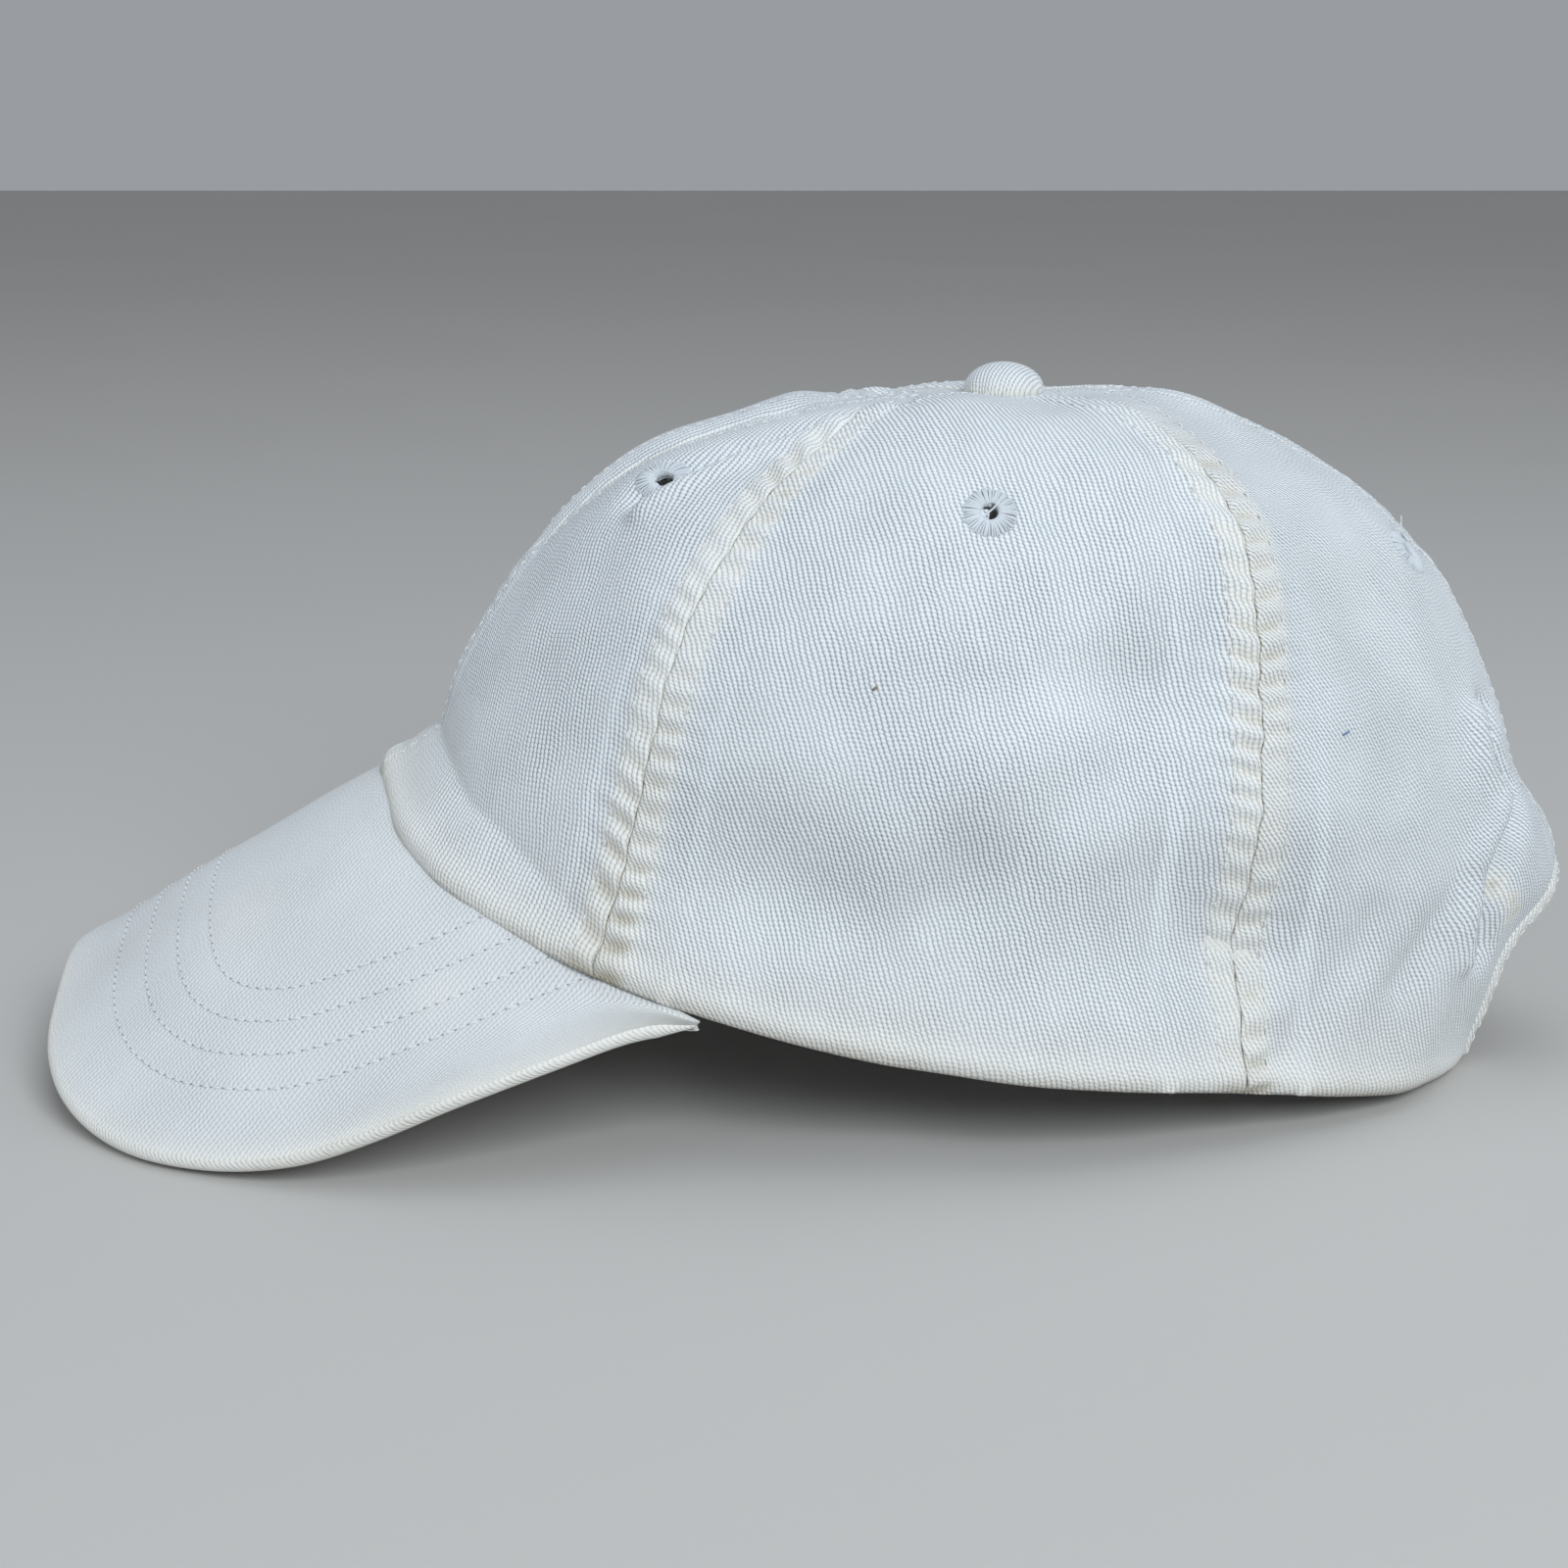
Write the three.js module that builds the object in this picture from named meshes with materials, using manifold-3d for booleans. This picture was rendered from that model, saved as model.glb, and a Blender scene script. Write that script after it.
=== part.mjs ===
// Six-panel baseball cap: cotton-twill crown, curved visor, covered button, embroidered eyelets,
// seam tapes, sweatband, and an adjusting strap with a metal clasp at the back.
// Millimetres, +Z up, the visor points to -Y and the wearer's left is +X. The cap rests on the table
// on the two low points of the visor and the back of the crown.
import * as THREE from 'three';
import { mergeVertices } from 'three/addons/utils/BufferGeometryUtils.js';
import Module from 'manifold-3d';

const wasm = await Module();
wasm.setup();

// ---- driving dimensions ----
const CROWN_MIDDLE_Y = 23.2; // centre of the opening, before the part is centred on its own box
const OPENING_FRONT = 96; // centre to front of the opening
const OPENING_BACK = 113; // centre to back of the opening
const OPENING_HALF_WIDTH = 70;
// Lower edge above the table, every 30 degrees from the front.
const RIM_HEIGHTS = [54, 43, 31, 19, 10.5, 1.5, 0];
const APEX = { y: 45, z: 124 };
// A crown meridian is a cubic curve from the rim to the apex. Each row gives its shape at front, side
// and back.
const MERIDIAN = {
  lean: [0.184, 0.217, -0.258], // how far the wall leans in above the rim
  shoulder: [0.583, 0.833, 0.675], // height of the wall's handle, as a share of the crown height
  reach: [0.705, 0.607, 0.65], // how far out the top stays flat
  rise: [2.7, 6.2, 9.8], // how far the top rises round the button
};
const FLARE = { size: 6, height: 0.13 }; // the front edge turns out over the visor
const BACK_BULGE = { push: 10.8, z: 34, tall: 19.6, wide: 31 }; // slack cloth above the drawn-in strap
const SEAM_ANGLES = { low: [57.7, 123.4], high: [56.8, 139.6] }; // side seams, degrees from the front
const CROWN_TOP = 0.972; // where the panels stop, as a share of the meridian

const CLOTH = 0.8;
const GAP = 0.3;
const TAPE = { width: 12, depth: 1.2, thick: 0.5 };
const SWEATBAND = { depth: 2.2, thick: 0.9, rows: 4 };
const EYELET = { outer: 5, hole: 1.6, thick: 1.6 };
// Angle and share of the meridian, one per panel.
const EYELET_PLACES = [[25.5, 0.594], [96.6, 0.539], [163, 0.5]];
const ARCH = { halfWidth: 18, shoulder: 14, top: 34, binding: 2 };
const BUTTON = { radius: 7.3, height: 5, seat: 125.6, shank: 1.5, hole: 2.1 };

// The visor's outer edge on the left side, from its tip to the end of its seam.
const VISOR_EDGE = [
  [0, -135.5, 17], [20, -133.5, 14], [36, -129.5, 10], [48, -124, 6.2], [57.5, -116, 3.6], [65.5, -105, 2.9],
  [71, -93, 3.6], [75, -80, 6.4], [77, -66, 11.6], [77, -50, 18], [74, -33, 24], [68, -19, 28],
];
const VISOR_END = 66; // degrees from the front where the visor's seam ends
const BOARD = { thick: 1.6, inset: 2.5 };

const STRAP = {
  height: 16, thick: 1, low: 2, straight: 28, end: 33.5, drop: 2.5, innerY: 121, outerY: 122.5, free: -27,
};
const CLASP = {
  left: 12, right: -10, height: 20, plate: 0.9, ear: 1.6, lug: 2.2,
  pinX: -7, pinY: 125.3, pinRadius: 0.7, knuckle: 2,
};
const LEVER = { end: 10.5, clear: 0.7, thick: 1, foot: 1.2 };
const KEEPER = { right: -26, width: 6, room: 0.4, thick: 0.8 };

// ---- shape of the crown ----
const radians = (degrees) => (degrees * Math.PI) / 180;

// Mixes the front, side and back values round the crown.
function mixRound([front, side, back], angle) {
  const toward = Math.cos(angle) ** 2;
  return (Math.cos(angle) > 0 ? front : back) * toward + side * (1 - toward);
}

// A smooth curve through the rim heights, mirrored left to right.
function rimHeight(angle) {
  const place = Math.acos(Math.cos(angle)) / radians(30);
  const i = Math.min(Math.floor(place), RIM_HEIGHTS.length - 2);
  const f = place - i;
  const last = RIM_HEIGHTS.length - 1;
  const at = (k) => RIM_HEIGHTS[last - Math.abs(last - Math.abs(k))];
  const [a, b, c, d] = [at(i - 1), at(i), at(i + 1), at(i + 2)];
  return b + 0.5 * f * (c - a + f * (2 * a - 5 * b + 4 * c - d + f * (3 * (b - c) + d - a)));
}

function rimPoint(angle) {
  const depth = Math.cos(angle) > 0 ? OPENING_FRONT : OPENING_BACK;
  return new THREE.Vector3(
    OPENING_HALF_WIDTH * Math.sin(angle), CROWN_MIDDLE_Y - depth * Math.cos(angle), rimHeight(angle));
}

// Outer face of the crown: angle from the front (positive on the wearer's left), share of the meridian.
function crownPoint(angle, share) {
  const rim = rimPoint(angle);
  const run = Math.hypot(rim.x, rim.y - APEX.y);
  const flare = FLARE.size * Math.max(Math.cos(angle), 0) ** 2;
  const wall = run - flare;
  const rise = APEX.z - rim.z;
  const left = 1 - share;
  const b = [left ** 3, 3 * left * left * share, 3 * left * share * share, share ** 3];
  const lean = 1 - mixRound(MERIDIAN.lean, angle);
  const radius = wall * (b[0] + b[1] * lean + b[2] * mixRound(MERIDIAN.reach, angle))
    + flare * Math.max(1 - share / FLARE.height, 0) ** 2;
  const z = rim.z * b[0] + (rim.z + mixRound(MERIDIAN.shoulder, angle) * rise) * b[1]
    + (APEX.z + mixRound(MERIDIAN.rise, angle)) * b[2] + APEX.z * b[3];
  const x = (rim.x / run) * radius;
  let y = APEX.y + ((rim.y - APEX.y) / run) * radius;
  if (Math.cos(angle) < 0) {
    y += BACK_BULGE.push * Math.exp(-(((z - BACK_BULGE.z) / BACK_BULGE.tall) ** 2))
      * Math.exp(-((x / BACK_BULGE.wide) ** 2));
  }
  return new THREE.Vector3(x, y, z);
}

function crownNormal(angle, share) {
  const step = 1e-3;
  const s = Math.min(Math.max(share, step), 1 - 2 * step);
  const round = crownPoint(angle + step, s).sub(crownPoint(angle - step, s));
  const up = crownPoint(angle, s + step).sub(crownPoint(angle, s - step));
  return round.cross(up).normalize();
}

// A point under the crown's outer face, so far in along its normal.
function underCrown(angle, share, depth) {
  return crownPoint(angle, share).addScaledVector(crownNormal(angle, share), -depth);
}

// Angle of a side seam (0 is front to side, 1 is side to back) at a share of the meridian.
function seamAngle(which, share) {
  const smooth = share * share * (3 - 2 * share);
  return radians(SEAM_ANGLES.low[which] + (SEAM_ANGLES.high[which] - SEAM_ANGLES.low[which]) * smooth);
}

// Rows of every piece of the crown, closer together near the rim.
const ROWS = 13;
const rowShare = (i) => CROWN_TOP * (i / ROWS) ** 1.25;

// Turns a distance along the crown into an angle.
function angleFor(distance, angle, share) {
  const step = 1e-3;
  return (distance * 2 * step) / crownPoint(angle + step, share).distanceTo(crownPoint(angle - step, share));
}

// ---- solids ----
// A closed sheet between two grids of points, outer and inner, both [row][column].
function sheet(outer, inner) {
  const rows = outer.length;
  const columns = outer[0].length;
  const positions = [...outer.flat(), ...inner.flat()].flatMap((p) => [p.x, p.y, p.z]);
  const out = (i, j) => i * columns + j;
  const under = (i, j) => rows * columns + i * columns + j;
  const faces = [];
  const quad = (a, b, c, d) => faces.push(a, b, c, a, c, d);
  for (let i = 0; i < rows - 1; i++) {
    for (let j = 0; j < columns - 1; j++) {
      quad(out(i, j), out(i, j + 1), out(i + 1, j + 1), out(i + 1, j));
      quad(under(i, j), under(i + 1, j), under(i + 1, j + 1), under(i, j + 1));
    }
  }
  for (let j = 0; j < columns - 1; j++) {
    quad(out(0, j + 1), out(0, j), under(0, j), under(0, j + 1));
    quad(out(rows - 1, j), out(rows - 1, j + 1), under(rows - 1, j + 1), under(rows - 1, j));
  }
  for (let i = 0; i < rows - 1; i++) {
    quad(out(i, 0), out(i + 1, 0), under(i + 1, 0), under(i, 0));
    quad(out(i + 1, columns - 1), out(i, columns - 1), under(i, columns - 1), under(i + 1, columns - 1));
  }
  const geometry = new THREE.BufferGeometry();
  geometry.setAttribute('position', new THREE.Float32BufferAttribute(positions, 3));
  geometry.setIndex(faces);
  return geometry;
}

const grid = (rows, columns, point) =>
  Array.from({ length: rows }, (_, i) => Array.from({ length: columns }, (_, j) => point(i, j)));

function toSolid(geometry) {
  const plain = geometry.clone();
  plain.deleteAttribute('normal');
  plain.deleteAttribute('uv');
  const merged = mergeVertices(plain, 1e-3);
  const mesh = new wasm.Mesh({
    numProp: 3,
    vertProperties: new Float32Array(merged.attributes.position.array),
    triVerts: new Uint32Array(merged.index.array),
  });
  mesh.merge();
  return new wasm.Manifold(mesh);
}

function toGeometry(solid) {
  const mesh = solid.getMesh();
  const geometry = new THREE.BufferGeometry();
  geometry.setAttribute('position', new THREE.Float32BufferAttribute(mesh.vertProperties, 3));
  geometry.setIndex(Array.from(mesh.triVerts));
  return geometry;
}

const cut = (geometry, tool) => toGeometry(toSolid(geometry).subtract(toSolid(tool)));

// A patch of cloth on the crown between two edges, from depth top to depth bottom.
function crownPatch(startAngle, endAngle, shares, columns, top, bottom) {
  const at = (depth) => grid(shares.length, columns + 1, (i, j) => {
    const start = startAngle(shares[i]);
    return underCrown(start + ((endAngle(shares[i]) - start) * j) / columns, shares[i], depth);
  });
  return sheet(at(top), at(bottom));
}

const panelRows = Array.from({ length: ROWS + 1 }, (_, i) => rowShare(i));

// ---- crown panels ----
const EDGES = [() => 0, (s) => seamAngle(0, s), (s) => seamAngle(1, s), () => Math.PI];

function eyeletFrame(panel, side) {
  const [degrees, share] = EYELET_PLACES[panel];
  const angle = radians(degrees) * side;
  const axis = new THREE.Vector3(0, 1, 0);
  const turn = new THREE.Quaternion().setFromUnitVectors(axis, crownNormal(angle, share));
  return { centre: underCrown(angle, share, CLOTH / 2), turn };
}

function placed(geometry, { centre, turn }) {
  return geometry.applyQuaternion(turn).translate(centre.x, centre.y, centre.z);
}

function archShape(inset) {
  const w = ARCH.halfWidth - inset;
  const top = ARCH.top - inset;
  const shape = new THREE.Shape();
  shape.moveTo(-w, -20);
  shape.lineTo(-w, ARCH.shoulder);
  shape.bezierCurveTo(-w + 1, ARCH.shoulder + 10, -w * 0.6, top, 0, top);
  shape.bezierCurveTo(w * 0.6, top, w - 1, ARCH.shoulder + 10, w, ARCH.shoulder);
  shape.lineTo(w, -20);
  shape.closePath();
  return shape;
}

// The arch as a solid that runs through the back of the crown along Y.
function archSolid(inset) {
  return new THREE.ExtrudeGeometry(archShape(inset), { depth: 80, bevelEnabled: false, curveSegments: 10 })
    .rotateX(Math.PI / 2).translate(0, 170, 0);
}

function crownPanel(panel, side) {
  const inset = (GAP / 2) * side;
  const edge = (k, sign) => (s) => {
    const angle = EDGES[k](s) * side;
    return angle + sign * angleFor(inset, angle, s);
  };
  const from = side > 0 ? edge(panel, 1) : edge(panel + 1, -1);
  const to = side > 0 ? edge(panel + 1, -1) : edge(panel, 1);
  const cloth = crownPatch(from, to, panelRows, 10, 0, CLOTH);
  const hole = placed(new THREE.CylinderGeometry(EYELET.outer + GAP, EYELET.outer + GAP, 8, 16),
    eyeletFrame(panel, side));
  const open = cut(cloth, hole);
  return panel === 2 ? cut(open, archSolid(0)) : open;
}

function eyelet(panel, side) {
  const half = EYELET.thick / 2;
  const profile = [[EYELET.hole, -half], [EYELET.outer - 0.4, -half], [EYELET.outer, -half * 0.4],
    [EYELET.outer, half * 0.4], [EYELET.outer - 0.6, half], [EYELET.hole + 0.5, half],
    [EYELET.hole, half * 0.4],
    [EYELET.hole, -half]].map(([r, y]) => new THREE.Vector2(r, y));
  return placed(new THREE.LatheGeometry(profile, 16), eyeletFrame(panel, side));
}

// ---- seam tapes ----
function sideTape(which, side) {
  const shares = panelRows.filter((s) => s < 0.86);
  const edge = (sign) => (s) => {
    const angle = seamAngle(which, s) * side;
    return angle + sign * angleFor(TAPE.width / 2, angle, s);
  };
  return crownPatch(edge(-1), edge(1), shares, 2, TAPE.depth, TAPE.depth + TAPE.thick);
}

// One long tape over the head from the visor to the top of the back opening. It follows the crown up
// to the button's flat, and runs straight across under the button.
function middleTape() {
  const front = panelRows.map((s) => [0, s]);
  const back = panelRows.filter((s) => s > 0.24).map((s) => [Math.PI, s]).reverse();
  const stations = [...front, ...back];
  const at = (depth) => grid(stations.length, 3, (i, j) => {
    const [angle, share] = stations[i];
    const side = (j - 1) * (angle === 0 ? 1 : -1);
    const across = (side * TAPE.width) / 2;
    if (share < 0.8) return underCrown(angle + angleFor(across, angle, share), share, depth);
    return underCrown(angle, share, depth + 0.5).setX((j - 1) * TAPE.width / 2);
  });
  const strip = sheet(at(TAPE.depth), at(TAPE.depth + TAPE.thick));
  const hole = new THREE.CylinderGeometry(BUTTON.hole, BUTTON.hole, 30, 16)
    .rotateX(Math.PI / 2).translate(0, APEX.y, APEX.z);
  return cut(strip, hole);
}

// ---- sweatband, binding and label ----
function sweatband() {
  const shares = panelRows.slice(0, SWEATBAND.rows);
  const band = crownPatch(() => radians(-146), () => radians(146), shares, 60,
    SWEATBAND.depth, SWEATBAND.depth + SWEATBAND.thick);
  return cut(band, archSolid(-GAP));
}

function openingBinding() {
  const shares = panelRows.filter((s) => s < 0.4);
  const wrap = crownPatch(() => radians(128), () => radians(232), shares, 20, -0.4, CLOTH + 0.3);
  const ring = toSolid(archSolid(GAP)).subtract(toSolid(archSolid(GAP + ARCH.binding)));
  return toGeometry(toSolid(wrap).intersect(ring));
}

function careLabel() {
  const depth = SWEATBAND.depth + SWEATBAND.thick + GAP;
  return crownPatch(() => radians(-119), () => radians(-105), panelRows.slice(1, 4), 4, depth, depth + 0.4);
}

// ---- button ----
const turned = (points, z) =>
  new THREE.LatheGeometry(points.map(([r, y]) => new THREE.Vector2(r, y)), 24)
    .rotateX(Math.PI / 2).translate(0, APEX.y, z);

// A dome's outline, from its edge up to the axis.
function dome(radius, height, steps) {
  return Array.from({ length: steps + 1 }, (_, i) => {
    const turn = (i / steps) * (Math.PI / 2);
    return [radius * Math.cos(turn), height * Math.sin(turn)];
  }).map(([r, y]) => [Math.max(r, 0) < 1e-6 ? 0 : r, y]);
}

function buttonCover() {
  const inside = dome(BUTTON.radius - CLOTH, BUTTON.height - CLOTH, 6).reverse();
  const outside = dome(BUTTON.radius, BUTTON.height, 7);
  return turned([[BUTTON.radius - CLOTH, 0], ...outside, ...inside], BUTTON.seat);
}

function buttonShell() {
  const radius = BUTTON.radius - CLOTH - GAP;
  const outside = dome(radius, BUTTON.height - CLOTH - GAP, 6);
  return turned([[0, 0.2], [radius, 0.2], ...outside.slice(1)], BUTTON.seat);
}

function buttonRivet() {
  const low = APEX.z - 5.5;
  return turned([[0, low], [BUTTON.shank + 1, low], [BUTTON.shank + 1, low + 0.8], [BUTTON.shank, low + 0.8],
    [BUTTON.shank, BUTTON.seat - 0.1], [0, BUTTON.seat - 0.1]], 0);
}

function buttonBacking() {
  const low = APEX.z - 4.4;
  const hole = BUTTON.shank + GAP;
  return turned([[hole, low], [6, low], [6, low + 0.8], [hole, low + 0.8], [hole, low]], 0);
}

// ---- visor ----
const edgeCurve = new THREE.CatmullRomCurve3(
  [...VISOR_EDGE.slice(1).reverse().map(([x, y, z]) => [-x, y, z]), ...VISOR_EDGE]
    .map((p) => new THREE.Vector3(...p)), false, 'centripetal');

// A point of the visor's top face: along the seam from -1 to 1, out from the seam to the edge from 0 to 1.
function visorPoint(along, out) {
  const seam = rimPoint(radians(VISOR_END * along));
  const away = new THREE.Vector3(seam.x, seam.y - CROWN_MIDDLE_Y, 0).normalize();
  seam.addScaledVector(away, 0.5);
  seam.z -= 0.6;
  return seam.lerp(edgeCurve.getPoint((along + 1) / 2), out);
}

function visorNormal(along, out) {
  const step = 2e-3;
  const a = Math.min(Math.max(along, step - 1), 1 - step);
  const o = Math.min(Math.max(out, step), 1 - step);
  const across = visorPoint(a + step, o).sub(visorPoint(a - step, o));
  const outward = visorPoint(a, o + step).sub(visorPoint(a, o - step));
  return outward.cross(across).normalize();
}

const underVisor = (along, out, depth) =>
  visorPoint(along, out).addScaledVector(visorNormal(along, out), -depth);

const VISOR_COLUMNS = 32;
const VISOR_DEPTH = CLOTH * 2 + GAP * 2 + BOARD.thick;


// The top cover wraps the visor's edge and ends level with the under cover.
function visorTopCover() {
  const steps = 7;
  const face = (depth, inset) => grid(steps + 1, VISOR_COLUMNS + 1, (i, j) => {
    const along = 1 - (j / VISOR_COLUMNS) * 2;
    const length = visorPoint(along, 0).distanceTo(visorPoint(along, 1));
    const out = (1 - inset / length) * Math.min(i / (steps - 1), 1);
    return underVisor(along, out, i === steps ? VISOR_DEPTH : depth);
  });
  return sheet(face(0, 0), face(CLOTH, CLOTH));
}

// A flat layer inside the visor, held so far in from its edge.
function visorLayer(top, bottom, inset) {
  const steps = 6;
  const at = (depth) => grid(steps, VISOR_COLUMNS + 1, (i, j) => {
    const along = (1 - (j / VISOR_COLUMNS) * 2) * (1 - (inset * 0.6) / 60);
    const length = visorPoint(along, 0).distanceTo(visorPoint(along, 1));
    return underVisor(along, (1 - inset / length) * (i / (steps - 1)), depth);
  });
  return sheet(at(top), at(bottom));
}

const visorBoard = () => visorLayer(CLOTH + GAP, CLOTH + GAP + BOARD.thick, BOARD.inset);
const visorUnderCover = () => visorLayer(VISOR_DEPTH - CLOTH, VISOR_DEPTH, CLOTH + GAP);

// ---- strap and clasp ----
const box = (x0, x1, y0, y1, z0, z1) =>
  new THREE.BoxGeometry(x1 - x0, y1 - y0, z1 - z0).translate((x0 + x1) / 2, (y0 + y1) / 2, (z0 + z1) / 2);

// A strap between two places along X: straight across the middle, bent in to meet the crown at its ends.
function strap(left, right, middleY) {
  const columns = 14;
  const top = STRAP.low + STRAP.height;
  const face = (offset) => grid(2, columns + 1, (i, j) => {
    const x = left + ((right - left) * j) / columns;
    const bend = Math.max(Math.abs(x) - STRAP.straight, 0) / (STRAP.end - STRAP.straight);
    return new THREE.Vector3(x, middleY - STRAP.drop * bend * bend + offset, i === 0 ? STRAP.low : top);
  });
  return sheet(face(STRAP.thick / 2), face(-STRAP.thick / 2));
}

const pinHole = () =>
  new THREE.CylinderGeometry(CLASP.pinRadius + GAP, CLASP.pinRadius + GAP, 40, 16)
    .rotateX(Math.PI / 2).translate(CLASP.pinX, CLASP.pinY, 10);

function claspPlate() {
  const face = STRAP.outerY - STRAP.thick / 2 - GAP;
  const tip = CLASP.pinY + CLASP.knuckle;
  let solid = toSolid(box(CLASP.right, CLASP.left, face - CLASP.plate, face, 0, CLASP.height));
  for (const low of [0, CLASP.height - CLASP.ear]) {
    const high = low + CLASP.ear;
    const lug = box(CLASP.pinX - CLASP.lug, CLASP.pinX + CLASP.lug, face - CLASP.plate / 2, tip, low, high);
    solid = solid.add(toSolid(lug));
  }
  return toGeometry(solid.subtract(toSolid(pinHole())));
}

function claspLever() {
  const low = CLASP.ear + GAP;
  const high = CLASP.height - CLASP.ear - GAP;
  const knuckle = new THREE.CylinderGeometry(CLASP.knuckle, CLASP.knuckle, high - low, 20)
    .rotateX(Math.PI / 2).translate(CLASP.pinX, CLASP.pinY, (low + high) / 2);
  const inner = STRAP.outerY + STRAP.thick / 2 + GAP;
  const under = inner + LEVER.clear;
  const arm = box(CLASP.pinX, LEVER.end, under, under + LEVER.thick, low, high);
  const foot = box(LEVER.end - LEVER.foot, LEVER.end, inner, under + LEVER.thick / 2, low, high);
  const solid = toSolid(knuckle).add(toSolid(arm)).add(toSolid(foot));
  return toGeometry(solid.subtract(toSolid(pinHole())));
}

const claspPin = () =>
  new THREE.CylinderGeometry(CLASP.pinRadius, CLASP.pinRadius, CLASP.height - 0.2, 16)
    .rotateX(Math.PI / 2).translate(CLASP.pinX, CLASP.pinY, CLASP.height / 2);

// A cloth loop round both layers of the strap.
function strapKeeper() {
  const [low, high] = [STRAP.low - KEEPER.room, STRAP.low + STRAP.height + KEEPER.room];
  const inner = STRAP.innerY - STRAP.thick / 2 - KEEPER.room;
  const outer = STRAP.outerY + STRAP.thick / 2 + KEEPER.room;
  const t = KEEPER.thick;
  const block = box(KEEPER.right, KEEPER.right + KEEPER.width, inner - t, outer + t, low - t, high + t);
  return cut(block, box(KEEPER.right - 1, KEEPER.right + KEEPER.width + 1, inner, outer, low, high));
}

// ---- colours ----
const white = { color: 0xd9dcda, roughness: 0.95, metalness: 0 };
const underWhite = { color: 0xcfcdc4, roughness: 0.95, metalness: 0 };
const thread = { color: 0xe6e6e0, roughness: 0.8, metalness: 0 };
const plastic = { color: 0xc9cdd0, roughness: 0.5, metalness: 0 };
const brass = { color: 0xa08a5c, roughness: 0.4, metalness: 1 };
const steel = { color: 0x9a9c9e, roughness: 0.35, metalness: 1 };

// ---- assembly ----
const cap = new THREE.Group();
cap.name = 'baseball_cap';

function add(name, geometry, look) {
  const mesh = new THREE.Mesh(geometry, new THREE.MeshStandardMaterial(look));
  mesh.name = name;
  cap.add(mesh);
}

for (const [sideName, side] of [['left', 1], ['right', -1]]) {
  ['front', 'side', 'back'].forEach((place, panel) => {
    add(`${place}_panel_${sideName}`, crownPanel(panel, side), white);
    add(`${place}_eyelet_${sideName}`, eyelet(panel, side), thread);
  });
  add(`front_seam_tape_${sideName}`, sideTape(0, side), underWhite);
  add(`back_seam_tape_${sideName}`, sideTape(1, side), underWhite);
}
add('middle_seam_tape', middleTape(), underWhite);
add('sweatband', sweatband(), underWhite);
add('back_opening_binding', openingBinding(), white);
add('care_label', careLabel(), thread);
add('visor_top_cover', visorTopCover(), white);
add('visor_board', visorBoard(), plastic);
add('visor_under_cover', visorUnderCover(), underWhite);
add('button_cover', buttonCover(), white);
add('button_shell', buttonShell(), steel);
add('button_rivet', buttonRivet(), steel);
add('button_backing', buttonBacking(), steel);
add('strap_adjusting', strap(STRAP.end, STRAP.free, STRAP.outerY), white);
add('strap_anchor', strap(CLASP.right - GAP, -STRAP.end, STRAP.innerY), white);
add('strap_keeper', strapKeeper(), white);
add('clasp_plate', claspPlate(), brass);
add('clasp_lever', claspLever(), brass);
add('clasp_pin', claspPin(), steel);

// The part's origin is under the middle of its box.
const middle = new THREE.Box3().setFromObject(cap).getCenter(new THREE.Vector3());
cap.position.set(0, -middle.y, 0);

export default cap;
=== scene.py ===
"""A washed white cotton-twill baseball cap, made round its CAD frame. Shapes are worked out in
millimetres in the part's own layout and set down in the frame, in metres, by to_frame."""
import math

import bpy
import numpy as np
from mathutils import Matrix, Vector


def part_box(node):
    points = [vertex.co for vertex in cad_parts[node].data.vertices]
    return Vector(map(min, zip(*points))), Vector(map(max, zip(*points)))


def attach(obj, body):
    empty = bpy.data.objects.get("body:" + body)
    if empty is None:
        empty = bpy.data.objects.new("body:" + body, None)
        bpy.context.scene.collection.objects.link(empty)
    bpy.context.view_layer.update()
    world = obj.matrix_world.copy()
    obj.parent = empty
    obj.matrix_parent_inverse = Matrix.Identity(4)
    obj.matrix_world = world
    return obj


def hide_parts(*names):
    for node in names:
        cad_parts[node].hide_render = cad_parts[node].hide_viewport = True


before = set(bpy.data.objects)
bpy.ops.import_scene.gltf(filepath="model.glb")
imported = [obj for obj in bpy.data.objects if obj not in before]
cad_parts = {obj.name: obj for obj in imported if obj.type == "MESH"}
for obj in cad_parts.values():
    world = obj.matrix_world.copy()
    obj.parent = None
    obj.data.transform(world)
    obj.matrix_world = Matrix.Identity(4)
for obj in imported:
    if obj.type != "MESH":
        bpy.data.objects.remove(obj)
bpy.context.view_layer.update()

MM = 0.001
RANDOM = np.random.default_rng(7)

# ---- the crown's driving dimensions, in millimetres, as the CAD part has them ----
CROWN_MIDDLE_Y, OPENING_FRONT, OPENING_BACK, OPENING_HALF_WIDTH = 23.2, 96.0, 113.0, 70.0
RIM_HEIGHTS = np.array([54, 43, 31, 19, 10.5, 1.5, 0], float)
APEX_Y, APEX_Z = 45.0, 124.0
LEAN, SHOULDER = (0.184, 0.217, -0.258), (0.583, 0.833, 0.675)
REACH, RISE = (0.705, 0.607, 0.65), (2.7, 6.2, 9.8)
FLARE, FLARE_SHARE = 6.0, 0.13
BULGE_PUSH, BULGE_Z, BULGE_TALL, BULGE_WIDE = 10.8, 34.0, 19.6, 31.0
SEAM_LOW, SEAM_HIGH = (57.7, 123.4), (56.8, 139.6)
CROWN_TOP = 0.972
CLOTH = 0.8  # thickness of the twill
EYELETS = [(25.5, 0.594), (96.6, 0.539), (166.0, 0.5)]  # degrees round the crown, share of the meridian
EYELET_HOLE = 2.1
ARCH_HALF, ARCH_SHOULDER, ARCH_TOP = 18.0, 14.0, 34.0

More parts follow.
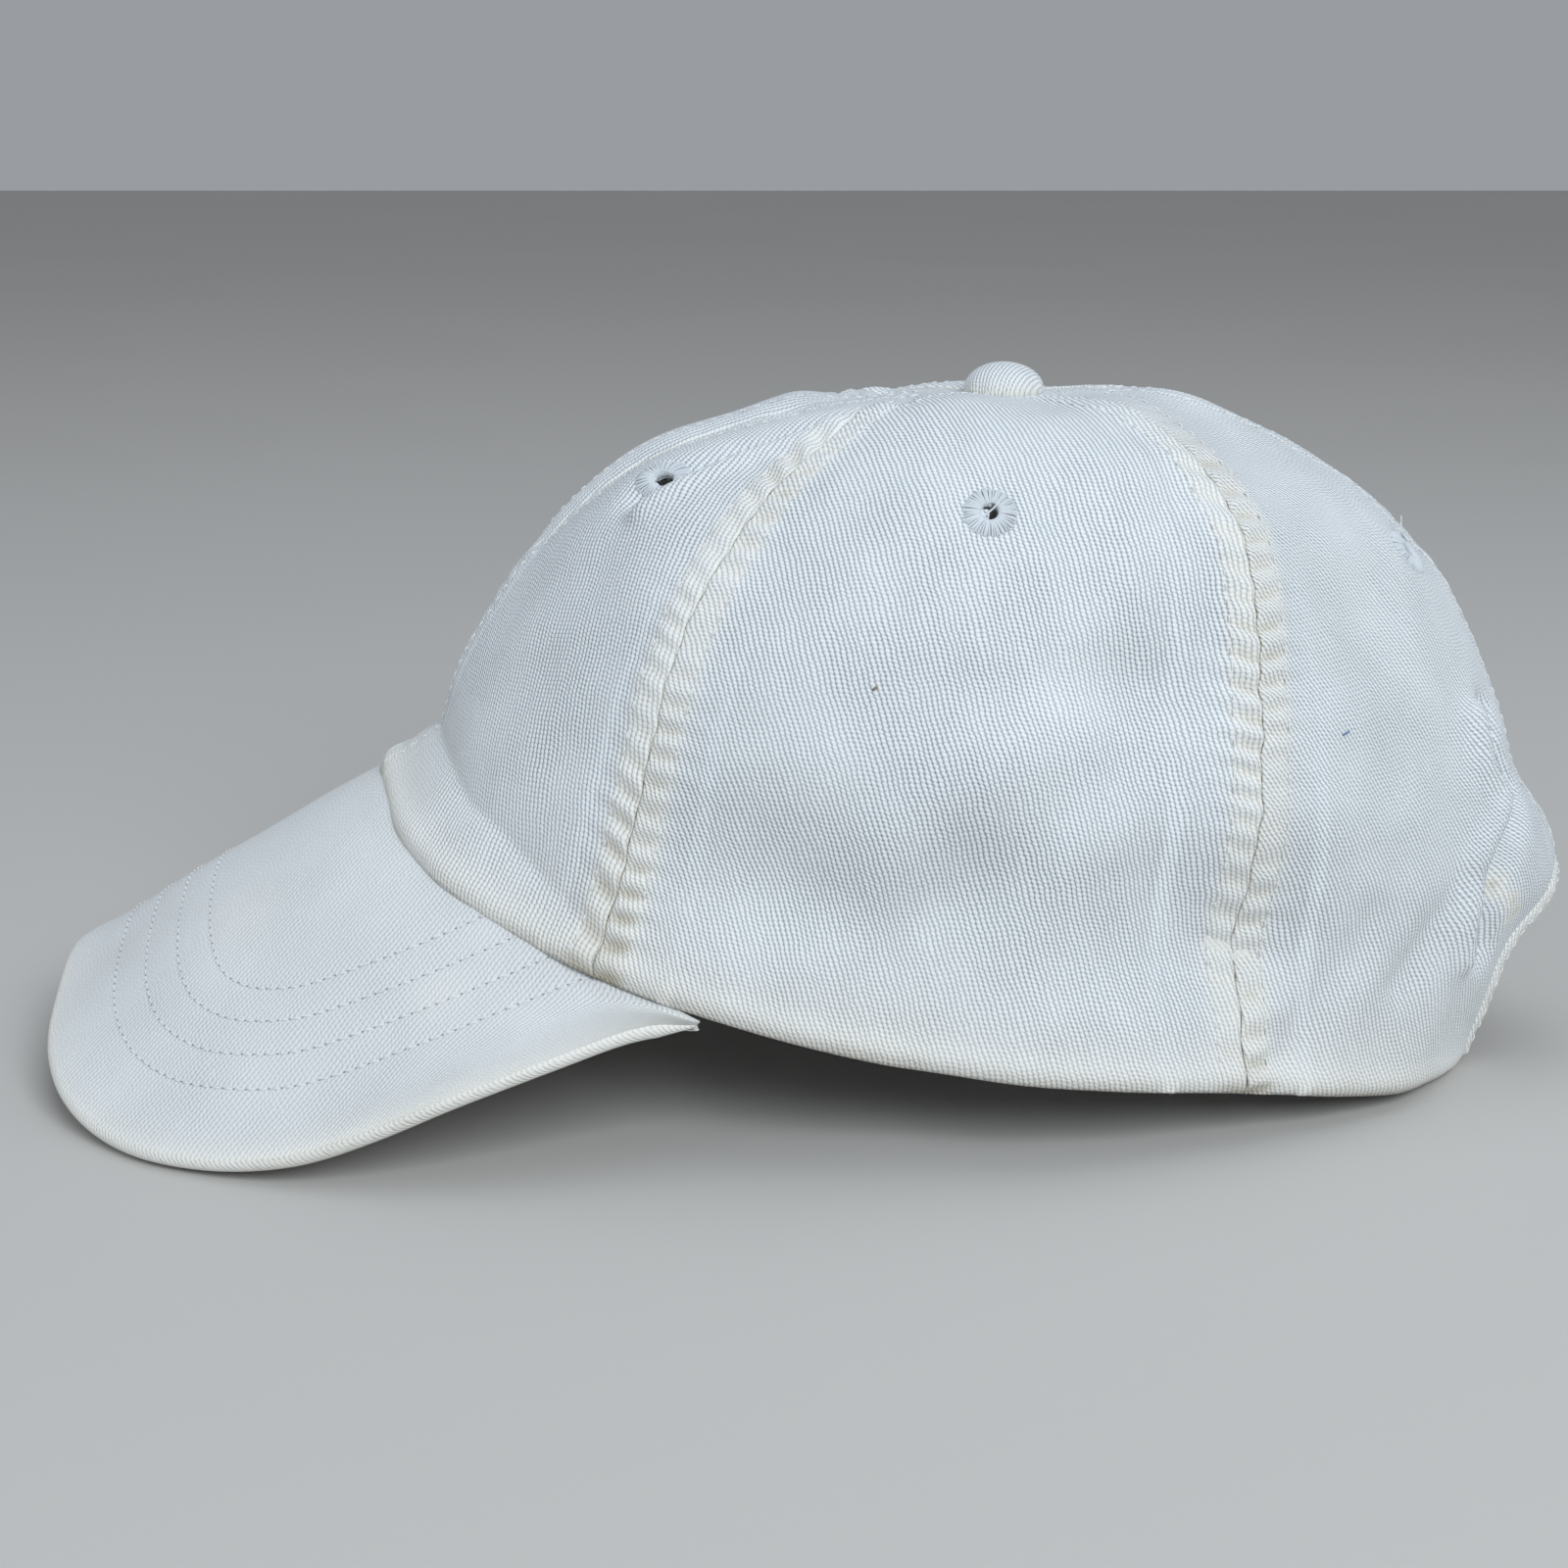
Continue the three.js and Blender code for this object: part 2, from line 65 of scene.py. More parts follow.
VISOR_END = 70.0  # degrees round from the front to the visor's end
VISOR_EDGE = np.array([  # half of the outer edge, from the front round to the hem
    [0, -135.5, 16.6], [20, -133.8, 13.4], [36.5, -130.5, 9.2], [49, -125, 5.6], [59, -117, 3.3],
    [68, -106, 2.75], [73.5, -93, 3.0], [76.8, -80, 5.2], [78, -66, 10.0], [77.4, -50, 16.3],
    [74.2, -34, 21.6], [70, -20.5, 25.2], [66.9, -10.5, 25.7]], float)
VISOR_UNDER_DEPTH = 2.9  # from the top face down to the under cover
VISOR_EDGE_ROUND = 1.35
VISOR_ROWS = (15.0, 22.0, 29.0, 36.0)  # stitch rows, distance in from the edge
VISOR_LEAN = 46.0  # slant of the visor's twill
SEAM_ROW = 5.0  # stitch rows beside each crown seam
SEAM_BAND = 5.6  # width of the folded cloth beside each crown seam
TAPE_HALF = 6.0
TAPE_TWIST = 45.0  # slant of the twill of tapes and bindings, cut across the cloth
CAMERA_PLACE = np.array([469.44, 4.54, 180.01])
CAMERA_TILT = 15.504
CAMERA_LENS = 58.09

# The part is centred on its own box, so the rivet says how far its layout was moved.
rivet_low, rivet_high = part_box("button_rivet")
SHIFT_Y = (rivet_low[1] + rivet_high[1]) / 2 / MM - APEX_Y


def to_frame(points):
    """From the layout, in millimetres, to the frame, in metres."""
    moved = np.array(points, float)
    moved[..., 1] += SHIFT_Y
    return moved * MM


# ---- small helpers ----
def unit(v):
    return v / np.maximum(np.linalg.norm(v, axis=-1, keepdims=True), 1e-9)


def mound(place, centre, width):
    """A smooth mound, one high at its centre."""
    return np.exp(-((place - centre) / width) ** 2)


def fade(place, edge, soft):
    """One before the edge, nothing after it, with a soft step between."""
    return 1 / (1 + np.exp((place - edge) / soft))


def squared(wave, power):
    """A sine or cosine pushed out towards a square wave, for a rounded box's outline."""
    return np.sign(wave) * np.abs(wave) ** power


def turns(count):
    """Evenly spaced angles once round."""
    return np.arange(count) * 2 * math.pi / count


def run_along(path):
    """Distance along a path to each of its points."""
    return np.concatenate([[0], np.cumsum(np.linalg.norm(np.diff(path, axis=0), axis=1))])


# ---- shape of the crown ----
def mix_round(values, angle):
    """One of the crown's proportions, changing smoothly from front to side to back."""
    front, side, back = values
    toward = np.cos(angle) ** 2
    return np.where(np.cos(angle) > 0, front, back) * toward + side * (1 - toward)


def rim_height(angle):
    """The hem's height, a smooth curve through RIM_HEIGHTS, which are 30 degrees apart."""
    place = np.arccos(np.clip(np.cos(angle), -1, 1)) / math.radians(30)
    last = len(RIM_HEIGHTS) - 1
    i = np.minimum(np.floor(place).astype(int), last - 1)
    f = place - i

    def at(k):
        return RIM_HEIGHTS[last - np.abs(last - np.abs(k))]

    a, b, c, d = at(i - 1), at(i), at(i + 1), at(i + 2)
    return b + 0.5 * f * (c - a + f * (2 * a - 5 * b + 4 * c - d + f * (3 * (b - c) + d - a)))


def rim_point(angle):
    depth = np.where(np.cos(angle) > 0, OPENING_FRONT, OPENING_BACK)
    return np.stack([OPENING_HALF_WIDTH * np.sin(angle), CROWN_MIDDLE_Y - depth * np.cos(angle),
                     rim_height(angle)], -1)


def crown(angle, share):
    """Outer face: angle from the front, positive on the wearer's left, and share of the meridian."""
    angle, share = np.broadcast_arrays(np.asarray(angle, float), np.asarray(share, float))
    rim = rim_point(angle)
    run = np.hypot(rim[..., 0], rim[..., 1] - APEX_Y)
    flare = FLARE * np.maximum(np.cos(angle), 0) ** 2
    wall, rise, left = run - flare, APEX_Z - rim[..., 2], 1 - share
    b = left ** 3, 3 * left * left * share, 3 * left * share ** 2, share ** 3
    radius = wall * (b[0] + b[1] * (1 - mix_round(LEAN, angle)) + b[2] * mix_round(REACH, angle))
    radius = radius + flare * np.maximum(1 - share / FLARE_SHARE, 0) ** 2
    z = rim[..., 2] * b[0] + (rim[..., 2] + mix_round(SHOULDER, angle) * rise) * b[1]
    z = z + (APEX_Z + mix_round(RISE, angle)) * b[2] + APEX_Z * b[3]
    x = rim[..., 0] / run * radius
    y = APEX_Y + (rim[..., 1] - APEX_Y) / run * radius
    bulge = BULGE_PUSH * mound(z, BULGE_Z, BULGE_TALL) * mound(x, 0, BULGE_WIDE)
    y = y + np.where(np.cos(angle) < 0, bulge, 0)
    return np.stack([x, y, z], -1)


def crown_normal(angle, share):
    step = 1e-3
    share = np.clip(share, step, 1 - 2 * step)
    around = crown(angle + step, share) - crown(angle - step, share)
    up = crown(angle, share + step) - crown(angle, share - step)
    return unit(np.cross(around, up))


def seam_angle(which, share):
    smooth = share * share * (3 - 2 * share)
    return np.radians(SEAM_LOW[which] + (SEAM_HIGH[which] - SEAM_LOW[which]) * smooth)


def wander(share, seam):
    """A sewn seam's small unsteadiness, as an angle."""
    return (0.0024 * np.sin(share * 83 + seam) + 0.0016 * np.sin(share * 190 + 2 * seam)) * (seam in (1, 2))


EDGES = [lambda s: 0 * s, lambda s: seam_angle(0, s), lambda s: seam_angle(1, s), lambda s: 0 * s + math.pi]


def even_shares(angle, count, top=CROWN_TOP):
    """Shares of one meridian that lie the same distance apart."""
    fine = np.linspace(0, top, 400)
    steps = np.linalg.norm(np.diff(crown(angle, fine), axis=0), axis=1)
    run = np.concatenate([[0], np.cumsum(steps)])
    return np.interp(np.linspace(0, run[-1], count), run, fine)


# ---- folds, dents and slack of the cloth ----
def hill(points, path, size, width):
    """A rounded ridge, or with a negative size a hollow, along a path of (degrees, share) places."""
    stops = np.array(path, float)
    line = crown(np.radians(stops[:, 0]), stops[:, 1])
    nearest = np.full(points.shape[:-1], 1e9)
    for a, b in zip(line[:-1], line[1:]):
        along = np.clip(((points - a) @ (b - a)) / max((b - a) @ (b - a), 1e-9), 0, 1)
        nearest = np.minimum(nearest, np.linalg.norm(points - a - along[..., None] * (b - a), axis=-1))
    return size * mound(nearest, 0, width)


def dent(points, degrees, share, size, width):
    """A round dent, or with a positive size a swelling."""
    away = np.linalg.norm(points - crown(math.radians(degrees), share), axis=-1)
    return size * mound(away, 0, width)


def waves(points, length, size, seed):
    """Smooth, gentle unevenness made of a few crossed sine waves."""
    rng = np.random.default_rng(seed)
    total = np.zeros(points.shape[:-1])
    for _ in range(7):
        direction = unit(rng.normal(size=3))
        rate = 2 * math.pi / (length * rng.uniform(0.7, 1.4))
        total += np.sin(points @ direction * rate + rng.uniform(0, 6.3))
    return total * size / 2.6


CREASE_DEGREES = [0, 10, 19, 28, 35, 41, 49, 56, 60]
CREASE_SHARES = [0.086, 0.086, 0.088, 0.077, 0.076, 0.065, 0.049, 0.03, 0.02]
MERIDIAN_LENGTH = 175.0
TOP_RIDGE = [(33.6, 0.522), (37, 0.59), (39, 0.652), (43.5, 0.694), (52.5, 0.772), (59, 0.795)]
BACK_FOLD = [(163, 0.31), (161.5, 0.27), (163.5, 0.235), (160, 0.21), (154, 0.178), (152, 0.13), (153, 0.10)]
CENTRE_HOLLOW = [(2, 0.42), (3, 0.6), (5, 0.8)]
FAR_HUMP = [(-13, 0.45), (-16, 0.6), (-22, 0.78)]
SIDE_FOLD = [(84, 0.13), (92, 0.2), (101, 0.25), (109, 0.31), (111, 0.37)]
LOW_FOLD = [(139, 0.135), (134, 0.08), (128.5, 0.03)]
REAR_FOLD = [(152, 0.165), (147, 0.12), (143, 0.08)]
# Each fold: its path, how far that is moved round and up, how far it stands out, and its width.
FOLDS = [(TOP_RIDGE, 0, 0, 2.6, 2.8), (TOP_RIDGE, -5, 0.03, -3.0, 4.2), (BACK_FOLD, 0, 0, 2.4, 3.2),
         (BACK_FOLD, 4.6, 0, -3.7, 3.4), (LOW_FOLD, 0, 0, -1.6, 4.5), (REAR_FOLD, 0, 0, -1.8, 3.6),
         (SIDE_FOLD, 0, 0, 1.0, 6.0), (SIDE_FOLD, 5, -0.05, -1.5, 6.5)]
FAR_SIDE_FOLDS = 0.3  # how strong they are on the wearer's right
# Each soft dent: degrees, share, how far it stands out, and its width.
DENTS = [(112, 0.344, -2.3, 11), (105, 0.39, 1.0, 9), (97, 0.14, -1.4, 11), (82, 0.12, -1.5, 9),
         (90, 0.13, 1.1, 6), (75, 0.27, 1.2, 18), (116, 0.15, -1.3, 10), (-95, 0.3, -2.0, 18),
         (-120, 0.16, -1.4, 16), (143, 0.42, -1.3, 13), (-150, 0.4, -1.2, 14), (14, 0.35, -1.0, 13),
         (-20, 0.4, -1.1, 15), (88, 0.66, -1.2, 12), (108, 0.7, 1.0, 11), (45, 0.34, -0.9, 9),
         (169, 0.14, 1.0, 9), (-169, 0.14, 1.0, 9), (165, 0.03, 1.6, 11), (-165, 0.03, 1.6, 11)]


def front_ledge(angle, share):
    """The front's lowest strip lies out over the visor, and meets the wall above in a crease."""
    degrees = np.abs(np.degrees(angle))
    crease = np.interp(degrees, CREASE_DEGREES, CREASE_SHARES)
    depth = 2.9 * np.clip((61 - degrees) / 16, 0, 1)
    above = (share - crease) * MERIDIAN_LENGTH
    below = np.clip(share / crease, 0, 1) ** 1.3
    return -depth * np.where(above > 0, np.exp(-np.abs(above) / 8.0), below)


def mirrored(path, side, turn, lift):
    """A fold's path moved round and up, on the wearer's left (1) or right (-1)."""
    return [(side * (degrees + turn), share + lift) for degrees, share in path]


def cloth_relief(points, angle, share):
    """How far the cloth stands off its smooth shape, in millimetres."""
    degrees, height = np.degrees(angle), share * MERIDIAN_LENGTH
    relief = waves(points, 50, 1.05, 3) + waves(points, 21, 0.34, 4) + front_ledge(angle, share)
    sag = np.clip((np.abs(degrees) - 58) / 18, 0, 1) * np.clip((150 - np.abs(degrees)) / 25, 0, 1)
    swing = 1 + 0.35 * np.sin(degrees / 9.0 + 1.0) + 0.2 * np.sin(degrees / 3.7)
    relief += sag * (-3.7 * swing * mound(height, 18, 9.5) + 1.3 * mound(height, 40, 12.0))
    for side, strength in ((1, 1.0), (-1, FAR_SIDE_FOLDS)):
        for path, turn, lift, size, width in FOLDS:
            relief += strength * hill(points, mirrored(path, side, turn, lift), size, width)
    relief += hill(points, CENTRE_HOLLOW, -1.8, 4.0) + hill(points, FAR_HUMP, 2.6, 9.0)
    for place in DENTS:
        relief += dent(points, *place)
    return relief * np.clip((1 - share) * 6, 0, 1)


def drift(along, parts, rng):
    """An unsteady value made of a few slow sine waves, each a (size, length)."""
    return sum(size * np.sin(along / length + rng.uniform(0, 6)) for size, length in parts)


def seam_relief(away, along, seed, strength):
    """The stitched-down band beside a seam: a groove, puckers, and a dip under the stitches."""
    rng = np.random.default_rng(seed)
    pace = along / 5.4 + drift(along, ((0.45, 14.0), (0.14, 5.3)), rng)
    swing = 0.7 + drift(along, ((0.35, 15.0), (0.25, 6.1)), rng)
    pucker = np.cos(2 * math.pi * (pace - away * 0.025)) * swing * strength
    window = np.clip(away, 0.15, 1) * fade(away, 4.8, 0.5) + 0.2 * mound(away, 7, 2.5)
    band = 0.42 * fade(away, SEAM_BAND, 0.35)
    groove = -0.3 * mound(away, 0, 0.3)
    row = -0.22 * mound(away, SEAM_ROW, 0.5)
    return groove + band + row + 0.66 * pucker * window, pucker * window


# ---- meshes ----
def grid_faces(rows, columns, keep=None, closed=False, ring=False):
    """Quads over a grid of points. closed joins its last column to its first, and ring its rows."""
    row_count, column_count = rows if ring else rows - 1, columns if closed else columns - 1
    i, j = np.meshgrid(np.arange(row_count), np.arange(column_count), indexing="ij")
    right, above = (j + 1) % columns, (i + 1) % rows
    corners = ((i, j), (i, right), (above, right), (above, j))
    quads = np.stack([row * columns + column for row, column in corners], -1)
    return quads[keep] if keep is not None else quads.reshape(-1, 4)


def tube_faces(rings, sides, start=0):
    """The faces of a closed tube, with a cap at each end, whose points begin at start."""
    faces = (grid_faces(rings, sides, closed=True) + start).tolist()
    faces.append(list(range(start + sides - 1, start - 1, -1)))
    faces.append(list(range(start + (rings - 1) * sides, start + rings * sides)))
    return faces


def add_piece(name, points, faces, material, cloth=None, age_and_shade=0.0, body="cap", nodes=(),
              thick=0.0):
    """A smooth-shaded piece. cloth is its flat layout, and the yellowing value, from 0 to 1, how yellowed
    and browned it is; on the crown panels it also carries painted shade.
    """
    mesh = bpy.data.meshes.new(name)
    mesh.from_pydata(to_frame(points).reshape(-1, 3).tolist(), [], [list(map(int, f)) for f in faces])
    if cloth is not None:
        layer = mesh.uv_layers.new(name="cloth")
        corners = np.zeros(len(mesh.loops), int)
        mesh.loops.foreach_get("vertex_index", corners)
        layer.data.foreach_set("uv", (np.asarray(cloth, float).reshape(-1, 2) * MM)[corners].ravel())
    store = mesh.attributes.new("age_and_shade", "FLOAT", "POINT")
    store.data.foreach_set("value", np.broadcast_to(age_and_shade, np.shape(points)[:-1]).ravel())
    mesh.polygons.foreach_set("use_smooth", [True] * len(mesh.polygons))
    mesh.update()
    mesh.materials.append(material)
    piece = bpy.data.objects.new(name, mesh)
    bpy.context.scene.collection.objects.link(piece)
    if thick:
        solid = piece.modifiers.new("thickness", "SOLIDIFY")
        solid.thickness = thick * MM
        solid.offset = -1
        solid.use_even_offset = False
    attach(piece, body)
    if nodes:
        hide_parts(*nodes)
    return piece


def box_of(node):
    """The low and high corners of a CAD node, in millimetres."""
    return [np.array(corner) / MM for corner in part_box(node)]


def run_lengths(points, axis):
    """Distance from the first row or column of a grid of points to each other one."""
    steps = np.linalg.norm(np.diff(points, axis=axis), axis=-1)
    start = np.zeros_like(np.take(steps, [0], axis=axis))
    return np.concatenate([start, np.cumsum(steps, axis=axis)], axis)


def turn_cloth(across, along, degrees):
    """The cloth's flat layout, turned so that its ribs lean."""
    c, s = math.cos(math.radians(degrees)), math.sin(math.radians(degrees))
    return np.stack([across * c + along * s, along * c - across * s], -1)


# ---- stitches and threads ----
def stitches(name, lines, normals, material, length, gap, radius, lift, offset=0.0):
    """Every stitch of some lines as one piece: short bowed lengths of thread, sunk at their ends."""
    sweep = np.linspace(-1, 1, 5)
    bow = lift + 0.2 * (1 - sweep ** 2) - 0.34 * sweep ** 4
    size = radius * (1 - 0.55 * sweep ** 6)
    tubes = []
    for line, normal in zip(lines, normals):
        run = run_along(line)

        def at(place, values):
            return np.array([np.interp(place, run, values[:, k]) for k in range(3)])

        centres = np.arange(offset + length / 2, run[-1] - length / 2, length + gap)
        for c in centres + RANDOM.uniform(-0.12, 0.12, len(centres)):
            first, last = at(c - length / 2, line), at(c + length / 2, line)
            up = unit(at(c, normal))
            middle, forward = (first + last) / 2, (last - first) / 2
            side = unit(np.cross(up, forward))
            ring = middle + sweep[:, None] * forward + bow[:, None] * up
            tubes.append(rings_round(ring, side[None], up[None] * 0.85, size, 5))
    tubes_piece(name, tubes, material)


def rings_round(centres, side, up, radius, sides):
    """Rings of points round some centres, each with its own radius."""
    around = turns(sides)
    return centres[:, None] + radius[:, None, None] * (
        np.cos(around)[None, :, None] * side[:, None] + np.sin(around)[None, :, None] * up[:, None])


def thread_tube(path, radius):
    """Rings of points round a path, for a bent length of thread."""
    path = np.asarray(path, float)
    ahead = unit(np.gradient(path, axis=0))
    guide = np.array([0.31, 0.17, 0.93])  # any direction that no thread runs along
    side = unit(np.cross(ahead, guide))
    up = np.cross(side, ahead)
    return rings_round(path, side, up, np.broadcast_to(radius, (len(path),)), 6)


def tubes_piece(name, tubes, material):
    """Several lengths of thread as one piece."""
    points, faces, start = [], [], 0
    for tube in tubes:
        points.append(tube.reshape(-1, 3))
        faces += tube_faces(*tube.shape[:2], start)
        start += len(points[-1])
    return add_piece(name, np.concatenate(points), faces, material)


# ---- materials ----
class Nodes:
    """A short way to write a material's nodes."""

    def __init__(self, name):
        self.material = bpy.data.materials.new(name)
        self.material.use_nodes = True
        self.tree = self.material.node_tree
        self.shader = self.tree.nodes["Principled BSDF"]
        self.place = self.add("ShaderNodeTexCoord").outputs["Object"]

    def add(self, kind, **settings):
        node = self.tree.nodes.new(kind)
        for key, value in settings.items():
            setattr(node, key, value)
        return node

    def set(self, **values):
        """Plain values for the shader, an underscore standing for a space."""
        for key, value in values.items():
            self.shader.inputs[key.replace("_", " ")].default_value = value

    def put(self, value, socket):
        if isinstance(value, bpy.types.NodeSocket):
            self.tree.links.new(value, socket)
        else:
            socket.default_value = value

    def shade(self, key, value):
        self.put(value, self.shader.inputs[key])

    def math(self, operation, a, b=0.0):
        node = self.add("ShaderNodeMath", operation=operation)
        self.put(a, node.inputs[0])
        self.put(b, node.inputs[1])
        return node.outputs[0]

    def noise(self, vector, scale, detail=2.0, rough=0.5):
        node = self.add("ShaderNodeTexNoise")
        self.put(vector, node.inputs["Vector"])
        node.inputs["Scale"].default_value = scale
        node.inputs["Detail"].default_value = detail
        node.inputs["Roughness"].default_value = rough
        return node.outputs["Fac"]

    def mix(self, share, a, b):
        node = self.add("ShaderNodeMix", data_type="RGBA")
        self.put(share, node.inputs["Factor"])
        for value, key in ((a, 6), (b, 7)):
            self.put(value if isinstance(value, bpy.types.NodeSocket) else (*value, 1.0), node.inputs[key])
        return node.outputs[2]

    def span(self, value, low, high, to_low=0.0, to_high=1.0):
        node = self.add("ShaderNodeMapRange", clamp=True)
        for key, number in zip(("From Min", "From Max", "To Min", "To Max"), (low, high, to_low, to_high)):
            node.inputs[key].default_value = number
        self.put(value, node.inputs["Value"])
        return node.outputs["Result"]

    def ridges(self, place, power):
        """Rounded ridges, one for each whole step of place."""
        wave = self.math("ABSOLUTE", self.math("SINE", self.math("MULTIPLY", place, math.pi)))
        return self.math("POWER", wave, power)

    def bump(self, height, distance, strength):
        node = self.add("ShaderNodeBump")
        node.inputs["Strength"].default_value = strength
        node.inputs["Distance"].default_value = distance
        self.put(height, node.inputs["Height"])
        return node.outputs["Normal"]


RIB_PITCH = 0.00089  # metres, as all sizes in the materials are
FLOAT_LENGTH = 0.00082


def twill_material(name, clean, shade, groove_shade_strength, relief=0.0003):
    """Twill: slanting ribs made of short floats, with slubs and lint, and painted shade in the grooves
    between the ribs; yellowed and browned where its attribute says so, which holds age and, on the crown
    panels, painted shade.
    """
    n = Nodes(name)
    cloth = n.add("ShaderNodeUVMap", uv_map="cloth").outputs["UV"]
    split = n.add("ShaderNodeSeparateXYZ")
    n.put(cloth, split.inputs[0])
    slow = n.math("MULTIPLY", n.math("SUBTRACT", n.noise(n.place, 150.0, 1.0), 0.5), 0.0009)
    quick = n.math("MULTIPLY", n.math("SUBTRACT", n.noise(n.place, 1100.0, 1.0), 0.5), 0.0003)
    u = n.math("ADD", split.outputs["X"], n.math("ADD", slow, quick))
    first = n.math("FLOOR", n.math("DIVIDE", u, RIB_PITCH))
    scatter = n.math("FRACT", n.math("MULTIPLY", n.math("SINE", n.math("MULTIPLY", first, 12.99)), 437.5))
    beat = n.math("ADD", n.math("DIVIDE", split.outputs["Y"], FLOAT_LENGTH), scatter)
    float_place = n.math("FRACT", beat)
    leaning = n.math("MULTIPLY", n.math("SUBTRACT", float_place, 0.5), 0.24)
    across = n.math("ADD", n.math("DIVIDE", u, RIB_PITCH), leaning)
    rib = n.ridges(n.math("FRACT", across), 0.6)
    bead = n.ridges(float_place, 0.8)
    weave = n.math("MULTIPLY", rib, n.math("ADD", 0.74, n.math("MULTIPLY", bead, 0.26)))
    worn = n.span(n.noise(n.place, 60.0, 2.0), 0.3, 0.7, 0.72, 1.0)
    height = n.math("ADD", n.math("MULTIPLY", n.math("MULTIPLY", weave, worn), 0.85),
                    n.math("MULTIPLY", n.noise(n.place, 1500.0, 2.0), 0.3))
    blotch = n.noise(n.place, 30.0, 3.0, 0.6)
    age_and_shade = n.add("ShaderNodeAttribute", attribute_name="age_and_shade").outputs["Fac"]
    uneven = n.math("MULTIPLY", age_and_shade, n.span(blotch, 0.3, 0.68, 0.6, 1.15))
    base = n.mix(n.span(blotch, 0.35, 0.7), clean, tuple(c * 0.955 for c in clean))
    base = n.mix(n.span(uneven, 0.02, 0.36), base, CREAM)
    base = n.mix(n.span(uneven, 0.38, 1.0), base, BROWN_STAIN_AND_SHADE)
    # Painted shade: the grooves between the ribs are painted darker, towards the shade colour, and less so
    # where the cloth is yellowed.
    dip = n.math("MULTIPLY", n.span(weave, 0.25, 0.86, groove_shade_strength, 0.0), n.span(age_and_shade, 0.05, 0.3, 1.0, 0.45))
    base = n.mix(n.math("MULTIPLY", dip, worn), base, shade)
    lint = n.noise(n.place, 700.0, 3.0, 0.7)
    base = n.mix(n.span(lint, 0.6, 0.75, 0.0, 0.35), base, (0.9, 0.9, 0.9))
    n.shade("Base Color", base)
    n.shade("Roughness", n.span(weave, 0.0, 1.0, 0.97, 0.86))
    n.set(Sheen_Weight=0.12, Sheen_Roughness=0.6, Specular_IOR_Level=0.2)
    n.shade("Normal", n.bump(height, relief, 1.0))
    return n.material


def thread_material(name, colour):
    """Spun thread: fine twisted strands and a little fuzz."""
    n = Nodes(name)
    strands = n.noise(n.place, 3200.0, 2.0)
    patch = n.noise(n.place, 120.0, 2.0)
    darker = tuple(c * 0.88 for c in colour)
    n.shade("Base Color", n.mix(n.span(patch, 0.3, 0.7), colour, darker))
    n.shade("Roughness", n.span(strands, 0.3, 0.7, 0.7, 0.95))
    n.set(Sheen_Weight=0.2)
    n.shade("Normal", n.bump(strands, 0.00012, 0.8))
    return n.material


def metal_material(name, bright, dull, roughness):
    """Brushed metal, darker where it has tarnished."""
    n = Nodes(name)
    stretch = n.add("ShaderNodeMapping")
    n.put(n.place, stretch.inputs["Vector"])
    stretch.inputs["Scale"].default_value = (40.0, 900.0, 900.0)
    brush = n.noise(stretch.outputs[0], 1.0, 3.0)
    tarnish = n.noise(n.place, 160.0, 4.0, 0.65)
    n.shade("Base Color", n.mix(n.span(tarnish, 0.42, 0.62), bright, dull))
    rough = n.math("ADD", n.math("MULTIPLY", brush, 0.4), n.math("MULTIPLY", tarnish, 0.6))
    n.shade("Roughness", n.span(rough, 0.3, 0.7, roughness - 0.1, roughness + 0.16))
    n.set(Metallic=1.0)
    n.shade("Normal", n.bump(brush, 0.00004, 0.5))
    return n.material


def plastic_material(name, colour):
    """Moulded plastic with a fine grain."""
    n = Nodes(name)
    grain = n.noise(n.place, 700.0, 3.0)
    n.shade("Base Color", n.mix(grain, colour, tuple(c * 0.93 for c in colour)))
    n.shade("Roughness", n.span(grain, 0.3, 0.7, 0.42, 0.55))
    n.shade("Normal", n.bump(grain, 0.00006, 0.4))
    return n.material


def floor_material():
    """The plain pale floor."""
    n = Nodes("floor")
    colour = n.mix(n.noise(n.place, 3.0), (0.53, 0.515, 0.49), (0.56, 0.545, 0.52))
    n.shade("Base Color", colour)
    n.set(Roughness=0.9)
    return n.material


CREAM = (0.83, 0.82, 0.765)
# The brown that the highest yellowing reaches: real browning and stains, and painted shade in the crown's
# seam lines and pucker hollows.
BROWN_STAIN_AND_SHADE = (0.50, 0.44, 0.32)
# Each twill's third value is the painted shade colour of the grooves between its ribs, and the fourth is how
# strongly that shade is painted.
TWILL = twill_material("twill", (0.80, 0.83, 0.845), (0.33, 0.385, 0.435), 0.95)
# The visor's twill: a darker copy of the crown's twill. Its darker colour is painted shade, and its painted
# groove shade is weaker.
VISOR_TWILL_SHADED = twill_material("visor_twill_shaded", (0.74, 0.76, 0.765), (0.46, 0.495, 0.525), 0.6, 0.00018)
TWILL_INSIDE = twill_material("twill_inside", (0.74, 0.73, 0.69), (0.50, 0.49, 0.46), 0.6, 0.00022)
TAPE_CLOTH = twill_material("seam_tape", (0.78, 0.775, 0.75), (0.56, 0.55, 0.52), 0.5, 0.00014)
THREAD = thread_material("white_thread", (0.80, 0.81, 0.80))
EYELET_THREAD = thread_material("eyelet_thread", (0.68, 0.725, 0.76))
VISOR_THREAD = thread_material("visor_thread", (0.78, 0.79, 0.79))
